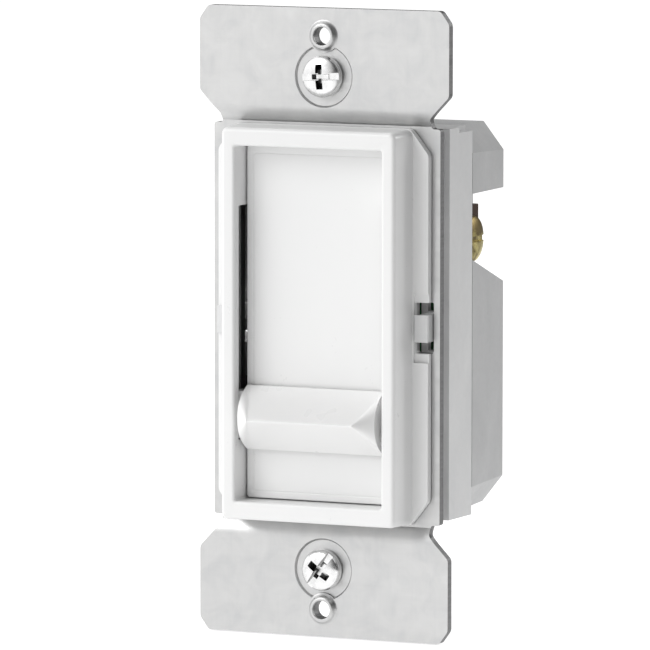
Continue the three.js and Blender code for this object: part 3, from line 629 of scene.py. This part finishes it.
def strap():
    """The bent sheet with its slots, two screw collars and the ground tab."""
    corner = box_mm("mounting_yoke")[1]
    half_w, half_h = corner.x, corner.z
    outline = filleted(fourfold([
        WAIST, (NECK[0], WAIST[1]), NECK, (half_w, 38.8),
        (half_w, half_h - 2.2), (half_w - 1.6, half_h)]), 0.5)
    sheet = loft("strap_sheet", [[(x, y, z) for x, z in outline] for y in SHEET])
    radius, half_length = BOX_SLOT
    stadium = [(x + math.copysign(half_length, x), z)
               for x, _, z in circle("Y", 0, (0, 0), radius, 48, math.pi / 48)]
    screw_seat = [(5.35, -2), (5.3, -0.8), (5.0, -0.4)]
    cutters = []
    for end in (1, -1):
        cutters.append(turned("c", "Y", (0, end * PLATE_SCREW_Z), [(PLATE_HOLE, y) for y in THROUGH]))
        cutters.append(loft("c", [[(x, y, z + end * BOX_SCREW_Z) for x, z in stadium]
                                  for y in THROUGH]))
        cutters.append(turned("c", "Y", (0, end * BOX_SCREW_Z), screw_seat, 64))
        for (middle, slot_w, slot_h), round_by in ((ARM_SLOT, 0.6), (HOOK_WINDOW, 0.3)):
            cutters.append(loft("c", [rounded(slot_w, slot_h, round_by, y, 4, (end * middle, 0))
                                      for y in THROUGH]))
    cutters.append(turned("c", "Y", (RIVET_X, RIVET_Z), [(1.8, y) for y in THROUGH]))
    carve(sheet, cutters)
    bend(sheet, *BEND, EAR_Y, MIDDLE_Y)
    collar = [(PLATE_HOLE, -0.9), (PLATE_HOLE, -2.25), (1.6, -2.45), (1.78, -2.5), (2.0, -2.46),
              (2.16, -2.3), (2.3, -2.0), (2.5, -1.72), (2.8, -1.59), (2.8, -0.9)]
    collars = [turned("c", "Y", (0, end * PLATE_SCREW_Z), collar, 48, closed=True) for end in (1, -1)]
    tab_side = [(-0.25, -12.0), (9.8, -12.0), (11.4, -10.4), (11.4, -4.6), (9.8, -3.0), (-0.25, -3.0)]
    tab = loft("c", [[(x, y, z) for y, z in filleted(tab_side, 0.8)] for x in TAB_X])
    carve(tab, [turned("c", "X", (GROUND_Y, GROUND_Z), [(1.85, -24), (1.85, -18)])])
    carve(sheet, [tab, *collars], "UNION")
    bevel(sheet, EDGE_ROUND, 2, 60)
    apply_modifiers(sheet)
    crease(sheet, 35)
    settle(sheet, STRAP, BODY, ["mounting_yoke"])
    # the cut edges get the dark steel, and the hook windows' walls get the same steel as painted shade
    paint_faces(sheet, SHEARED_AND_SHADE, cut_edge_and_window_shade)


def cut_edge_and_window_shade(centre, normal):
    """True on the outer border and the hook windows' outer three sides, not on the ground tab; on the
    windows the dark steel is painted shade that makes the gaps read black.
    """
    at_border = abs(centre.x) > 19 or abs(centre.z) > 34.5
    # the hook windows' walls: painted shade
    window_painted_shade = abs(centre.x) > 17 and abs(centre.z) < 4.5
    return (at_border or window_painted_shade) and abs(normal.y) < 0.3 and centre.y < 1.4


def paint_faces(obj, material, test):
    """A second finish on the faces a test of their centre, in millimetres, and normal picks."""
    obj.data.materials.append(material)
    for polygon in obj.data.polygons:
        polygon.material_index = 1 if test(polygon.center / MM, polygon.normal) else 0


def bend(obj, start, end, outer, inner, steps=12):
    """Sets the sheet's ends at depth outer and its middle at inner, in soft bends across |z|."""
    with editing(obj.data) as bm:
        for side in (1, -1):
            for i in range(steps + 1):
                z = side * (start + (end - start) * i / steps)
                everything = bm.verts[:] + bm.edges[:] + bm.faces[:]
                bmesh.ops.bisect_plane(
                    bm, geom=everything, dist=1e-8, plane_co=(0, 0, z * MM), plane_no=(0, 0, 1))
        for vert in bm.verts:
            t = min(1.0, max(0.0, (abs(vert.co.z) / MM - start) / (end - start)))
            t = 1 - (1 - t) ** 2
            vert.co.y += (inner + (outer - inner) * t) * MM


# ------------------------------------------------------------------ front frame and track
FRAME_ROOT = (16.6, 33.3)        # half width and half height at the flange
FRAME_FACE = (15.98, 33.1)       # the same where the front edge starts to round over
FRAME_ROUND, RECESS_ROUND = 0.8, 0.5
RECESS = (13.5, 30.0, -2.0)      # half width, half height, floor
FLANGE_FRONT, FLANGE_BEHIND = -1.9, 0.5       # its face, and a depth clear of its back
ARM_PATH = 19.8                  # half height of the stepped slots beside the recess
ARM_PATH_STEPS = (15.2, -6.3), (15.85, -4.2)  # how far out each reaches, and its front
WINDOW_INNER, WINDOW_ENDS = 16.7, {1: 20, -1: -18.4}    # open on the right, closed on the left
WINDOW_STEPS = (0.5, 4.3), (-1.4, 5.8)        # depth and half height: through, then the relief


def bezel():
    """The drafted front frame with its rounded edges, flange, arm slots and hook windows."""
    low, high = box_mm("bezel")
    front, back = low.y, high.y
    half_w, half_h = FRAME_FACE
    rings = [rounded(*FRAME_ROOT, 1.2, back), rounded(half_w, half_h, 1.1, front + FRAME_ROUND)]
    for inset, depth in quarter(FRAME_ROUND, 6, 1):
        rings.append(rounded(half_w - inset, half_h - inset, 1.1 - inset * 0.9, front + depth))
    for depth, grow in quarter(RECESS_ROUND, 5):
        rings.append(rounded(RECESS[0] + grow, RECESS[1] + grow, 0.35 + grow, front + depth))
    rings.append(rounded(*RECESS[:2], 0.35, RECESS[2]))
    frame_piece = loft("bezel_moulding", rings)
    edge = filleted(fourfold([(high.x, 29.1), (16.0, 33.3)]), 0.6)
    flange = loft("c", [[(x, y, z) for x, z in edge] for y in (FLANGE_FRONT, back)])
    carve(frame_piece, [flange], "UNION")
    cutters = [turned("c", "Y", (RIVET_X, RIVET_Z), [(3.3, -3.0), (3.3, FLANGE_BEHIND)], 32)]
    for side in (1, -1):
        for reach, start in ARM_PATH_STEPS:
            cutters.append(block("c", sorted((side * 13.2, side * reach)), (start, FLANGE_BEHIND),
                                 (-ARM_PATH, ARM_PATH)))
        window = sorted((side * WINDOW_INNER, WINDOW_ENDS[side]))
        for depth, window_h in WINDOW_STEPS:
            cutters.append(block("c", window, (-3, depth), (-window_h, window_h)))
    carve(frame_piece, cutters)
    ease(frame_piece, 0.1, 2, 40)
    settle(frame_piece, WHITE, BODY, ["bezel"])


def track_panel(edge=0.25):
    """The panel behind the grip, its front edge rounded and a shallow line sunk inside it."""
    low, high = box_mm("track_panel")
    half_w, half_h, front = high.x, high.z, low.y
    rings = [rounded(half_w, half_h, 0.5, high.y), rounded(half_w, half_h, 0.5, front + edge)]
    sunk_line = [(1.0, 0), (1.06, 0.05), (1.2, 0.07), (1.34, 0.05), (1.4, 0)]
    for inset, depth in quarter(edge, 4, 1) + sunk_line:
        rings.append(rounded(half_w - inset, half_h - inset, 0.5, front + depth))
    panel = loft("track_panel_face", rings)
    crease(panel, 40)
    settle(panel, WHITE, BODY, ["track_panel"])


# ------------------------------------------------------------------ slider
RIDGE = (9.5, -11.75, -15.8)     # half length, front and height of the ridge
GRIP_HALF, GRIP_TOP, GRIP_BACK, GRIP_LIP = 12.6, -10.6, -4.0, -4.9
GRIP_END_FRONT = -8.8            # how far forward the middle of each end face reaches
GRIP_SAGS = (0.75, 0.5)          # how far the upper and the lower face are hollowed
GRIP_STEPS = 24
ARM_INNER, ARM_LEG, ARM_OUTER = 11.6, 13.8, 14.9
ARM_Z = (-19.5, -11.6)


def grip_patch(edge_z, sag):
    """The hollowed face from one lip to the ridge, from its lip row to its ridge row."""
    rows = []
    for i in range(GRIP_STEPS + 1):
        t = i / GRIP_STEPS
        reach = GRIP_HALF + (RIDGE[0] - GRIP_HALF) * t
        y = GRIP_LIP + (RIDGE[1] - GRIP_LIP) * t + sag * math.sin(math.pi * t)
        z = edge_z + (RIDGE[2] - edge_z) * t
        rows.append([(reach * k / GRIP_STEPS, y, z) for k in range(-GRIP_STEPS, GRIP_STEPS + 1)])
    return rows


def grip_hip(side, bottom):
    """The fan from the ridge's end to the curved front of the end face, from top to bottom."""
    rows = []
    for k in range(-GRIP_STEPS, GRIP_STEPS + 1):
        w = k / GRIP_STEPS
        height = GRIP_TOP - RIDGE[2] if w < 0 else RIDGE[2] - bottom
        sag = GRIP_SAGS[0] if w < 0 else GRIP_SAGS[1]
        front = GRIP_END_FRONT + (GRIP_LIP - GRIP_END_FRONT) * abs(w) ** 2.5
        row = []
        for i in range(GRIP_STEPS + 1):
            s = i / GRIP_STEPS
            row.append((side * (RIDGE[0] + (GRIP_HALF - RIDGE[0]) * s),
                        RIDGE[1] + (front - RIDGE[1]) * s + sag * w * w * math.sin(math.pi * s),
                        RIDGE[2] - w * height * s))
        rows.append(row)
    return rows


def sheets(name, patches, polygons):
    """One shell from grids of points and a few flat polygons that share their borders."""
    verts, faces = [], []
    for rows in patches:
        first, across = len(verts), len(rows[0])
        verts += [point for row in rows for point in row]
        for i in range(len(rows) - 1):
            for k in range(across - 1):
                a = first + i * across + k
                faces.append((a, a + 1, a + across + 1, a + across))
    for polygon in polygons:
        faces.append(tuple(range(len(verts), len(verts) + len(polygon))))
        verts += polygon
    return make(name, verts, faces)


def rub_down(obj, passes, region):
    """Softens the creases among the points a region test picks."""
    with editing(obj.data) as bm:
        picked = [v for v in bm.verts if region(v.co / MM)]
        for _ in range(passes):
            bmesh.ops.smooth_vert(
                bm, verts=picked, factor=0.5, use_axis_x=True, use_axis_y=True, use_axis_z=True)


def grip():
    """The ridged grip with hipped ends, and the two arms that reach back round the panel."""
    low, high = box_mm("slider_knob")
    bottom = low.z
    upper, lower = grip_patch(GRIP_TOP, GRIP_SAGS[0]), grip_patch(bottom, GRIP_SAGS[1])
    hips = [grip_hip(side, bottom) for side in (1, -1)]
    walls = [[[(x, GRIP_BACK, z) for x, _, _ in row], row] for row, z in
             ((upper[0], GRIP_TOP), (lower[0], bottom))]
    ends = [[(x, GRIP_BACK, bottom), (x, GRIP_BACK, GRIP_TOP), *(row[-1] for row in hip)]
            for x, hip in ((GRIP_HALF, hips[0]), (-GRIP_HALF, hips[1]))]
    underside = [[wall[0] for wall in walls]]
    knob = sheets("slider_grip", [upper, lower, *hips, *walls, *underside], ends)
    rub_down(knob, 3, lambda p: p.y < GRIP_LIP - 0.1 and abs(p.x) < GRIP_HALF - 0.01)
    arms = []
    for side in (1, -1):
        across = sorted((side * ARM_INNER, side * ARM_OUTER))
        leg = sorted((side * ARM_LEG, side * ARM_OUTER))
        arms.append(block("c", across, (-6.0, -4.3), ARM_Z))
        arms.append(block("c", leg, (-5.9, high.y), ARM_Z))
    carve(knob, arms, "UNION")
    crease(knob, 40)
    settle(knob, GRIP, SLIDER, ["slider_knob"])


# ------------------------------------------------------------------ screws
def threaded(name, axis, centre, start, end, minor, major, pitch, taper=0.0, sides=24, per_turn=8):
    """A shank from start to end with a helical thread, narrowing over the last taper millimetres."""
    length, sign = abs(end - start), 1 if end > start else -1
    rings = []
    count = max(2, int(length / pitch * per_turn))
    for i in range(count + 1):
        run = length * i / count
        left = length - run
        fade = min(1.0, run / (0.8 * pitch), left / max(taper, 0.4 * pitch))
        core = minor * (min(1.0, 0.35 + 0.65 * left / taper) if taper else 1.0)
        ring = []
        for k in range(sides):
            phase = (run / pitch + k / sides) % 1.0
            crest = max(0.0, 1 - abs(phase - 0.5) * 2.3)
            radius = core + (major - minor) * crest * fade
            angle = 2 * math.pi * k / sides
            a = centre[0] + radius * math.cos(angle)
            b = centre[1] + radius * math.sin(angle)
            depth = start + sign * run
            ring.append((a, depth, b) if axis == "Y" else (depth, a, b))
        rings.append(ring)
    return loft(name, rings)


def drive_cutters(radius, top, deep, angle):
    """A slot across the head and a tapered four-armed recess. Head faces -Y at 0, 0."""
    turn = Matrix.Rotation(angle, 4, "Y")
    cutters = [block("c", (-radius - 1, radius + 1), (top - 1, top + deep), (-0.6, 0.6))]
    taper = (1.02, top - 1), (1.0, top), (0.5, top + deep * 1.8)
    for long, wide in ((radius * 0.64, 0.62), (0.62, radius * 0.64)):
        arm = [(-long, -wide), (long, -wide), (long, wide), (-long, wide)]
        cutters.append(loft("c", [[(x * k, y, z * k) for x, z in arm] for k, y in taper]))
    for cutter in cutters:
        cutter.data.transform(turn)
    return cutters


def head_profile(radius, top, seat):
    """A low domed head: crown, rolled rim and a flat seat."""
    rise, rim = (seat - top), 0.3
    points = [(radius * 0.96 * math.sin(a), top + rise * 0.42 * (1 - math.cos(a * 0.98)))
              for a in (math.pi / 2 * i / 9 for i in range(10))]
    wall = seat - rim
    return points + [(radius, top + rise * 0.55), (radius, wall),
                     (radius - rim * 0.3, seat - rim * 0.25), (radius - rim, seat)]


def placed(obj, at):
    """Keeps the piece's own centre on its axis, so that turning marks run round it."""
    obj.location = Vector(at) * MM
    return obj


def mounting_screw(end, angle):
    """A box screw in the upper or lower ear, its drive turned by an angle in radians."""
    name = "top" if end > 0 else "bottom"
    low, high = box_mm(f"mounting_screw_{name}")
    top, tip = low.y, high.y
    head = turned(f"box_screw_{name}", "Y", (0, 0), head_profile(3.5, top, top + 2.3), 48)
    carve(head, drive_cutters(3.5, top, 0.9, angle))
    shank = threaded("s", "Y", (0, 0), top + 2.2, tip, 1.38, 1.75, 0.794, 0.6)
    screw = merge(head, shank)
    crease(screw, 30)
    placed(screw, (0, 0, end * BOX_SCREW_Z))
    settle(screw, STEEL, BODY, [f"mounting_screw_{name}"])
    # painted shade: faces down in the drive recess take the darkened steel
    paint_faces(screw, RECESS_SHADE, lambda centre, normal:
                centre.y < top + 1.7 and math.hypot(centre.x, centre.z) < 3.0 and normal.y > -0.9)


def housing_screw(end_name, side_name):
    """One of the four screws that hold the cover on from behind."""
    node = f"housing_screw_{end_name}_{side_name}"
    low, high = box_mm(node)
    centre = (low + high) / 2
    head_back, tip = high.y, low.y
    head = turned(f"case_screw_{end_name}_{side_name}", "Y", (0, 0),
                  [(r, head_back - d) for r, d in head_profile(2.6, 0, 1.6)], 40)
    cutters = drive_cutters(2.6, 0, 0.8, math.pi / 4)
    facing_back = Matrix.Translation((0, head_back * MM, 0)) @ Matrix.Rotation(math.pi, 4, "Z")
    for cutter in cutters:
        cutter.data.transform(facing_back)
    carve(head, cutters)
    shank = threaded("s", "Y", (0, 0), head_back - 1.5, tip, 1.0, 1.4, 1.1, 1.6, 20, 7)
    screw = merge(head, shank)
    crease(screw, 30)
    placed(screw, (centre.x, 0, centre.z))
    settle(screw, STEEL, BODY, [node])


def side_screw(name, node, radius, shank, material):
    """A slotted binding-head screw along X, its head outwards."""
    low, high = box_mm(node)
    side = 1 if high.x > 0 else -1
    outer, tip = (high.x, low.x) if side > 0 else (-low.x, -high.x)
    centre = ((low.y + high.y) / 2, (low.z + high.z) / 2)
    seat = outer - 2.1 if radius > 3.8 else outer - 1.6
    profile = [(r, outer - d) for r, d in head_profile(radius, 0, outer - seat)]
    head = turned(name, "X", (0, 0), profile, 48)
    carve(head, [block("c", (outer - 0.95, outer + 1), (-radius - 1, radius + 1), (-0.5, 0.5))])
    body = threaded("s", "X", (0, 0), seat + 0.1, tip, shank - 0.33, shank, 0.794, 0.5)
    screw = merge(head, body)
    if side < 0:
        screw.data.transform(Matrix.Scale(-1, 4, (1, 0, 0)))
        screw.data.flip_normals()
    crease(screw, 30)
    placed(screw, (0, *centre))
    settle(screw, material, BODY, [node])


# ------------------------------------------------------------------ housing
def housing():
    """The front body, and the cover with its sunk label area, strip gauge and ejector marks."""
    dress("front_body", SHELL, 0.18, 3)
    back = box_mm("rear_cover")[1].y
    details = [loft("cut_label_area", [rounded(10.4 + g, 17 + g, 1.4, y) for g, y in
                                       ((0, back - 0.35), (0.12, back), (0.2, back + 1))])]
    details.append(loft("cut_strip_gauge", [rounded(5.5, 0.7, 0.6, y, 4, (0, -22.6))
                                            for y in (back - 0.5, back + 1)]))
    for x in (-5.5, 5.5):
        details.append(block(f"cut_gauge_end_{'a' if x < 0 else 'b'}", (x - 0.25, x + 0.25),
                             (back - 0.4, back + 1), (-24.4, -20.8)))
    for i, (x, z) in enumerate(((-7.5, 24), (7.5, 24), (0, -27.5))):
        details.append(turned(f"cut_ejector_{i}", "Y", (x, z),
                              [(1.5, back - 0.15), (1.5, back + 1)], 32))
    dress("rear_cover", COVER, 0.25, 3, details)


# ------------------------------------------------------------------ terminals
def terminals():
    """Brass plates, grooved wire clamps and binding screws, and the green ground screw."""
    for side, sign in (("right", 1), ("left", -1)):
        dress(f"terminal_plate_{side}", PLATE_BRASS, 0.12)
        low, high = box_mm(f"terminal_clamp_{side}")
        face = high.x if sign > 0 else low.x
        grooves = []
        for i, z in enumerate((low.z + 0.8, low.z + 1.5, high.z - 1.5, high.z - 0.8)):
            grooves.append(block(f"cut_grip_{side}_{i}", sorted((face - sign * 0.18, face + sign)),
                                 (low.y - 1, high.y + 1), (z - 0.14, z + 0.14)))
        dress(f"terminal_clamp_{side}", BRASS, 0.06, 2, grooves)
        side_screw(f"wire_screw_{side}", f"terminal_screw_{side}", 4.0, 1.75, BRASS)
    side_screw("earth_screw", "ground_screw", 3.4, 1.6, GREEN)


# ------------------------------------------------------------------ parts inside
CHOKE_Y, CHOKE_Z = 19.3, -21.0
CHOKE_WIRE = 0.5                 # radius of the magnet wire


def winding():
    """Two layers of magnet wire wound on the core, with both tails turned down to the board."""
    turns = []
    for radius, half in ((4.8, 8.1), (5.75, 7.6)):
        steps = int(2 * half / (2 * CHOKE_WIRE + 0.02)) * 14
        path = []
        for i in range(steps + 1):
            angle = 2 * math.pi * i / 14
            path.append(Vector((-half + 2 * half * i / steps, CHOKE_Y + radius * math.cos(angle),
                                CHOKE_Z + radius * math.sin(angle))))
        turns.append(tube("w", path, CHOKE_WIRE, 7))
    tail = [(8.0, CHOKE_Y), (8.9, CHOKE_Y), (9.35, CHOKE_Y - 0.15), (9.5, CHOKE_Y - 0.7), (9.5, 9.5)]
    for sign in (-1, 1):
        turns.append(tube("w", [Vector((sign * x, y, CHOKE_Z - 5.2)) for x, y in tail], CHOKE_WIRE, 10))
    coil = merge(*turns)
    coil.name = "choke_coil"
    coil.data.shade_smooth()
    settle(coil, WIRE, BODY, ["choke_winding"])


def tube(name, path, radius, sides):
    """A round wire along a path, in millimetres."""
    rings = []
    side = None
    for i, point in enumerate(path):
        ahead = (path[min(i + 1, len(path) - 1)] - path[max(i - 1, 0)]).normalized()
        side = ahead.orthogonal() if side is None else side - ahead * side.dot(ahead)
        side.normalize()
        other = ahead.cross(side)
        rings.append([tuple(point + radius * (side * math.cos(a) + other * math.sin(a)))
                      for a in (2 * math.pi * k / sides for k in range(sides))])
    return loft(name, rings)


def axial(name, node, profile, material, wire=0.35):
    """A dumb-bell body on the board, with one bent lead at each end."""
    low, high = box_mm(node)
    z = (low.z + high.z) / 2
    radius = max(r for r, _ in profile)
    y = high.y - radius
    reach = high.x - wire
    body = turned(name, "X", (y, z), profile, 28)
    lead = [(1.0, y), (reach - 0.5, y), (reach - 0.12, y - 0.12), (reach, y - 0.5), (reach, low.y)]
    leads = [tube("w", [Vector((sign * across, depth, z)) for across, depth in lead], wire, 10)
             for sign in (-1, 1)]
    piece = merge(body, *leads)
    crease(piece, 40)
    settle(piece, material, BODY, [node])


def plain_parts():
    """The inner parts that keep the shape of their CAD node."""
    for node, material, width in (
            ("slider_carriage", BLACK, 0.2), ("fader_lever", BLACK, 0.15), ("fader_wiper", LEAF, 0.04),
            ("switch_bridge", LEAF, 0.04), ("fader_case", ZINC, 0.15), ("fader_base", PHENOLIC, 0.08),
            ("switch_base", BLACK, 0.15), ("switch_contact_line", LEAF, 0.08),
            ("switch_contact_load", LEAF, 0.08), ("circuit_board", BOARD, 0.08), ("triac", BLACK, 0.15),
            ("triac_pad", PAD, 0.05), ("filter_capacitor", YELLOW, 0.7),
            ("timing_capacitor", YELLOW, 0.6), ("screw_washer_top", FIBRE, 0.1),
            ("screw_washer_bottom", FIBRE, 0.1)):
        dress(node, material, width, 3)


def rivet():
    """The hollow rivet that holds the triac to the strap, rolled over at both ends."""
    piece = turned("pad_rivet", "Y", (RIVET_X, RIVET_Z), [
        (0.9, -1.05), (0.95, -1.2), (1.9, -1.3), (2.5, -1.0), (2.75, -0.6), (2.78, -0.45),
        (1.5, -0.45), (1.5, 3.6), (2.65, 3.6), (2.6, 3.9), (2.2, 4.35), (1.6, 4.5), (1.0, 4.45),
        (0.9, 4.2)], 36)
    crease(piece)
    settle(piece, ZINC, BODY, ["triac_rivet"])


def ferrite_core():
    """The choke's rod, its ends chamfered."""
    core = turned("ferrite_rod", "X", (CHOKE_Y, CHOKE_Z), [
        (3.5, -11.5), (3.85, -11.35), (4.0, -11.0), (4.0, 11.0), (3.85, 11.35), (3.5, 11.5)], 40)
    crease(core)
    settle(core, FERRITE, BODY, ["choke_core"])


def axial_parts():
    """Two resistors with four bands each, and the diac with one."""
    half = [(0.3, 3.3), (0.9, 3.28), (1.18, 3.05), (1.25, 2.6), (1.22, 2.2), (1.08, 1.9), (1.02, 1.5)]
    barrel = [(r, -x) for r, x in half] + half[::-1]
    blue, brown, black = (0.07, 0.2, 0.42), (0.12, 0.045, 0.02), (0.01, 0.01, 0.01)
    red, gold = (0.4, 0.02, 0.01), (0.5, 0.33, 0.08)
    stripes = [(-2.6, 0.5, brown), (-1.3, 0.4, black), (-0.3, 0.4, red), (1.9, 0.5, gold)]
    resistor = banded("resistor_lacquer", blue, stripes, 3.3)
    for i in (1, 2):
        axial(f"resistor_body_{i}", f"resistor_{i}", barrel, resistor)
    half = [(0.3, 2.1), (0.85, 2.08), (1.0, 1.8)]
    bead = [(r, -x) for r, x in half] + half[::-1]
    diac = banded("diac_glass", blue, [(-0.3, 0.6, black)], 2.1)
    axial("diac_body", "diac", bead, diac)


# ------------------------------------------------------------------ stage, lights and camera
VIEW_AZIMUTH, VIEW_ELEVATION, VIEW_ROLL = (math.radians(a) for a in (24.40, 5.97, 0.06))
VIEW_DISTANCE = 1.3057
SENSOR, LENS, LENS_SHIFT = 36.0, 430.1, (-0.0035, -0.0033)
FLOOR_HALF, FLOOR_GAP = 6.0, 0.0002
FLOOR_GLOW, FLOOR_FADE = 0.78, (0.06, 0.2)    # emission, and where it starts and ends fading
FADE_TURN = math.radians(7)      # how far the fade's direction is turned from the view's right
TENT_MIDDLE = math.radians(-58), math.radians(26)
TENT = (-1.0, 0.08), (0.0, 0.08), (0.35, 0.28), (0.65, 1.0), (1.0, 1.25)
TENT_PEAK = 1.25


def facing(azimuth, elevation):
    """A unit vector out of the front, turned right by azimuth and up by elevation."""
    return Vector((math.sin(azimuth) * math.cos(elevation),
                   -math.cos(azimuth) * math.cos(elevation), math.sin(elevation)))


def stage():
    """A pale glowing floor that fills the view and fades out to the right of it."""
    mesh = bpy.data.meshes.new("floor")
    corners = [(x * FLOOR_HALF, y * FLOOR_HALF, cad_low.z - FLOOR_GAP)
               for x, y in ((-1, -1), (1, -1), (1, 1), (-1, 1))]
    mesh.from_pydata(corners, [], [(0, 1, 2, 3)])
    plane = linked("floor", mesh)
    f = Finish("pale_floor", Roughness=0.9, Specular_IOR_Level=0.1)
    f.tones(f.noise(40, 3), grey(0.49), grey(0.51))
    heading = VIEW_AZIMUTH - FADE_TURN
    rightwards = (math.cos(heading), math.sin(heading), 0)
    across = f.node("ShaderNodeVectorMath", {0: f.own, 1: rightwards},
                    operation="DOT_PRODUCT").outputs["Value"]
    glow = f.spread(across, FLOOR_GLOW, 0.0, *FLOOR_FADE)
    f.tree.links.new(glow, f.shader.inputs["Emission Strength"])
    f.shader.inputs["Emission Color"].default_value = (1, 1, 1, 1)
    plane.data.materials.append(f.mat)


def softbox(name, power, size, place):
    """A rectangular lamp of so many watts, turned to the origin and hidden from the camera."""
    lamp = bpy.data.lights.new(name, "AREA")
    lamp.shape, lamp.size, lamp.size_y, lamp.energy = "RECTANGLE", size[0], size[1], power
    obj = linked(name, lamp)
    obj.location = place
    obj.rotation_euler = (-Vector(place)).to_track_quat("-Z", "Y").to_euler()
    obj.visible_camera = False


def lights():
    """A tent lit from the front left, dark on the right, with a key lamp and one behind."""
    softbox("key", 6.6, (0.8, 0.8), (-0.68, -0.90, 0.84))
    softbox("back_right", 8.6, (0.5, 0.9), (0.78, 0.86, 0.58))
    world = bpy.data.worlds.new("studio")
    bpy.context.scene.world = world
    world.use_nodes = True
    tree = world.node_tree
    sky = tree.nodes["Background"]
    sky.inputs["Strength"].default_value = TENT_PEAK
    ray = tree.nodes.new("ShaderNodeTexCoord").outputs["Generated"]
    toward = tree.nodes.new("ShaderNodeVectorMath")
    toward.operation = "DOT_PRODUCT"
    toward.inputs[1].default_value = facing(*TENT_MIDDLE)
    tree.links.new(ray, toward.inputs[0])
    stretch = tree.nodes.new("ShaderNodeMapRange")
    stretch.inputs["From Min"].default_value = -1.0
    tree.links.new(toward.outputs["Value"], stretch.inputs["Value"])
    ramp = tree.nodes.new("ShaderNodeValToRGB")
    tree.links.new(stretch.outputs[0], ramp.inputs[0])
    points = ramp.color_ramp.elements
    while len(points) < len(TENT):
        points.new(0.5)
    for point, (toward_middle, radiance) in zip(points, TENT):
        point.position, point.color = (toward_middle + 1) / 2, (*grey(radiance / TENT_PEAK), 1)
    tree.links.new(ramp.outputs[0], sky.inputs["Color"])
    bpy.context.scene.view_settings.view_transform = "Standard"


def camera():
    """A long lens at the photograph's viewing angle."""
    back = facing(VIEW_AZIMUTH, VIEW_ELEVATION)
    lens = bpy.data.cameras.new("camera")
    lens.sensor_width, lens.lens = SENSOR, LENS
    lens.shift_x, lens.shift_y = LENS_SHIFT
    lens.clip_start, lens.clip_end = 0.05, 50
    obj = linked("camera", lens)
    turn = (-back).to_track_quat("-Z", "Y") @ Matrix.Rotation(VIEW_ROLL, 4, "Z").to_quaternion()
    obj.matrix_world = Matrix.LocRotScale(back * VIEW_DISTANCE, turn, None)
    bpy.context.scene.camera = obj


camera()
lights()
stage()
strap()
bezel()
track_panel()
grip()
mounting_screw(1, -0.05)
mounting_screw(-1, -0.95)
for end_name in ("top", "bottom"):
    for side_name in ("right", "left"):
        housing_screw(end_name, side_name)
housing()
terminals()
plain_parts()
rivet()
ferrite_core()
winding()
axial_parts()
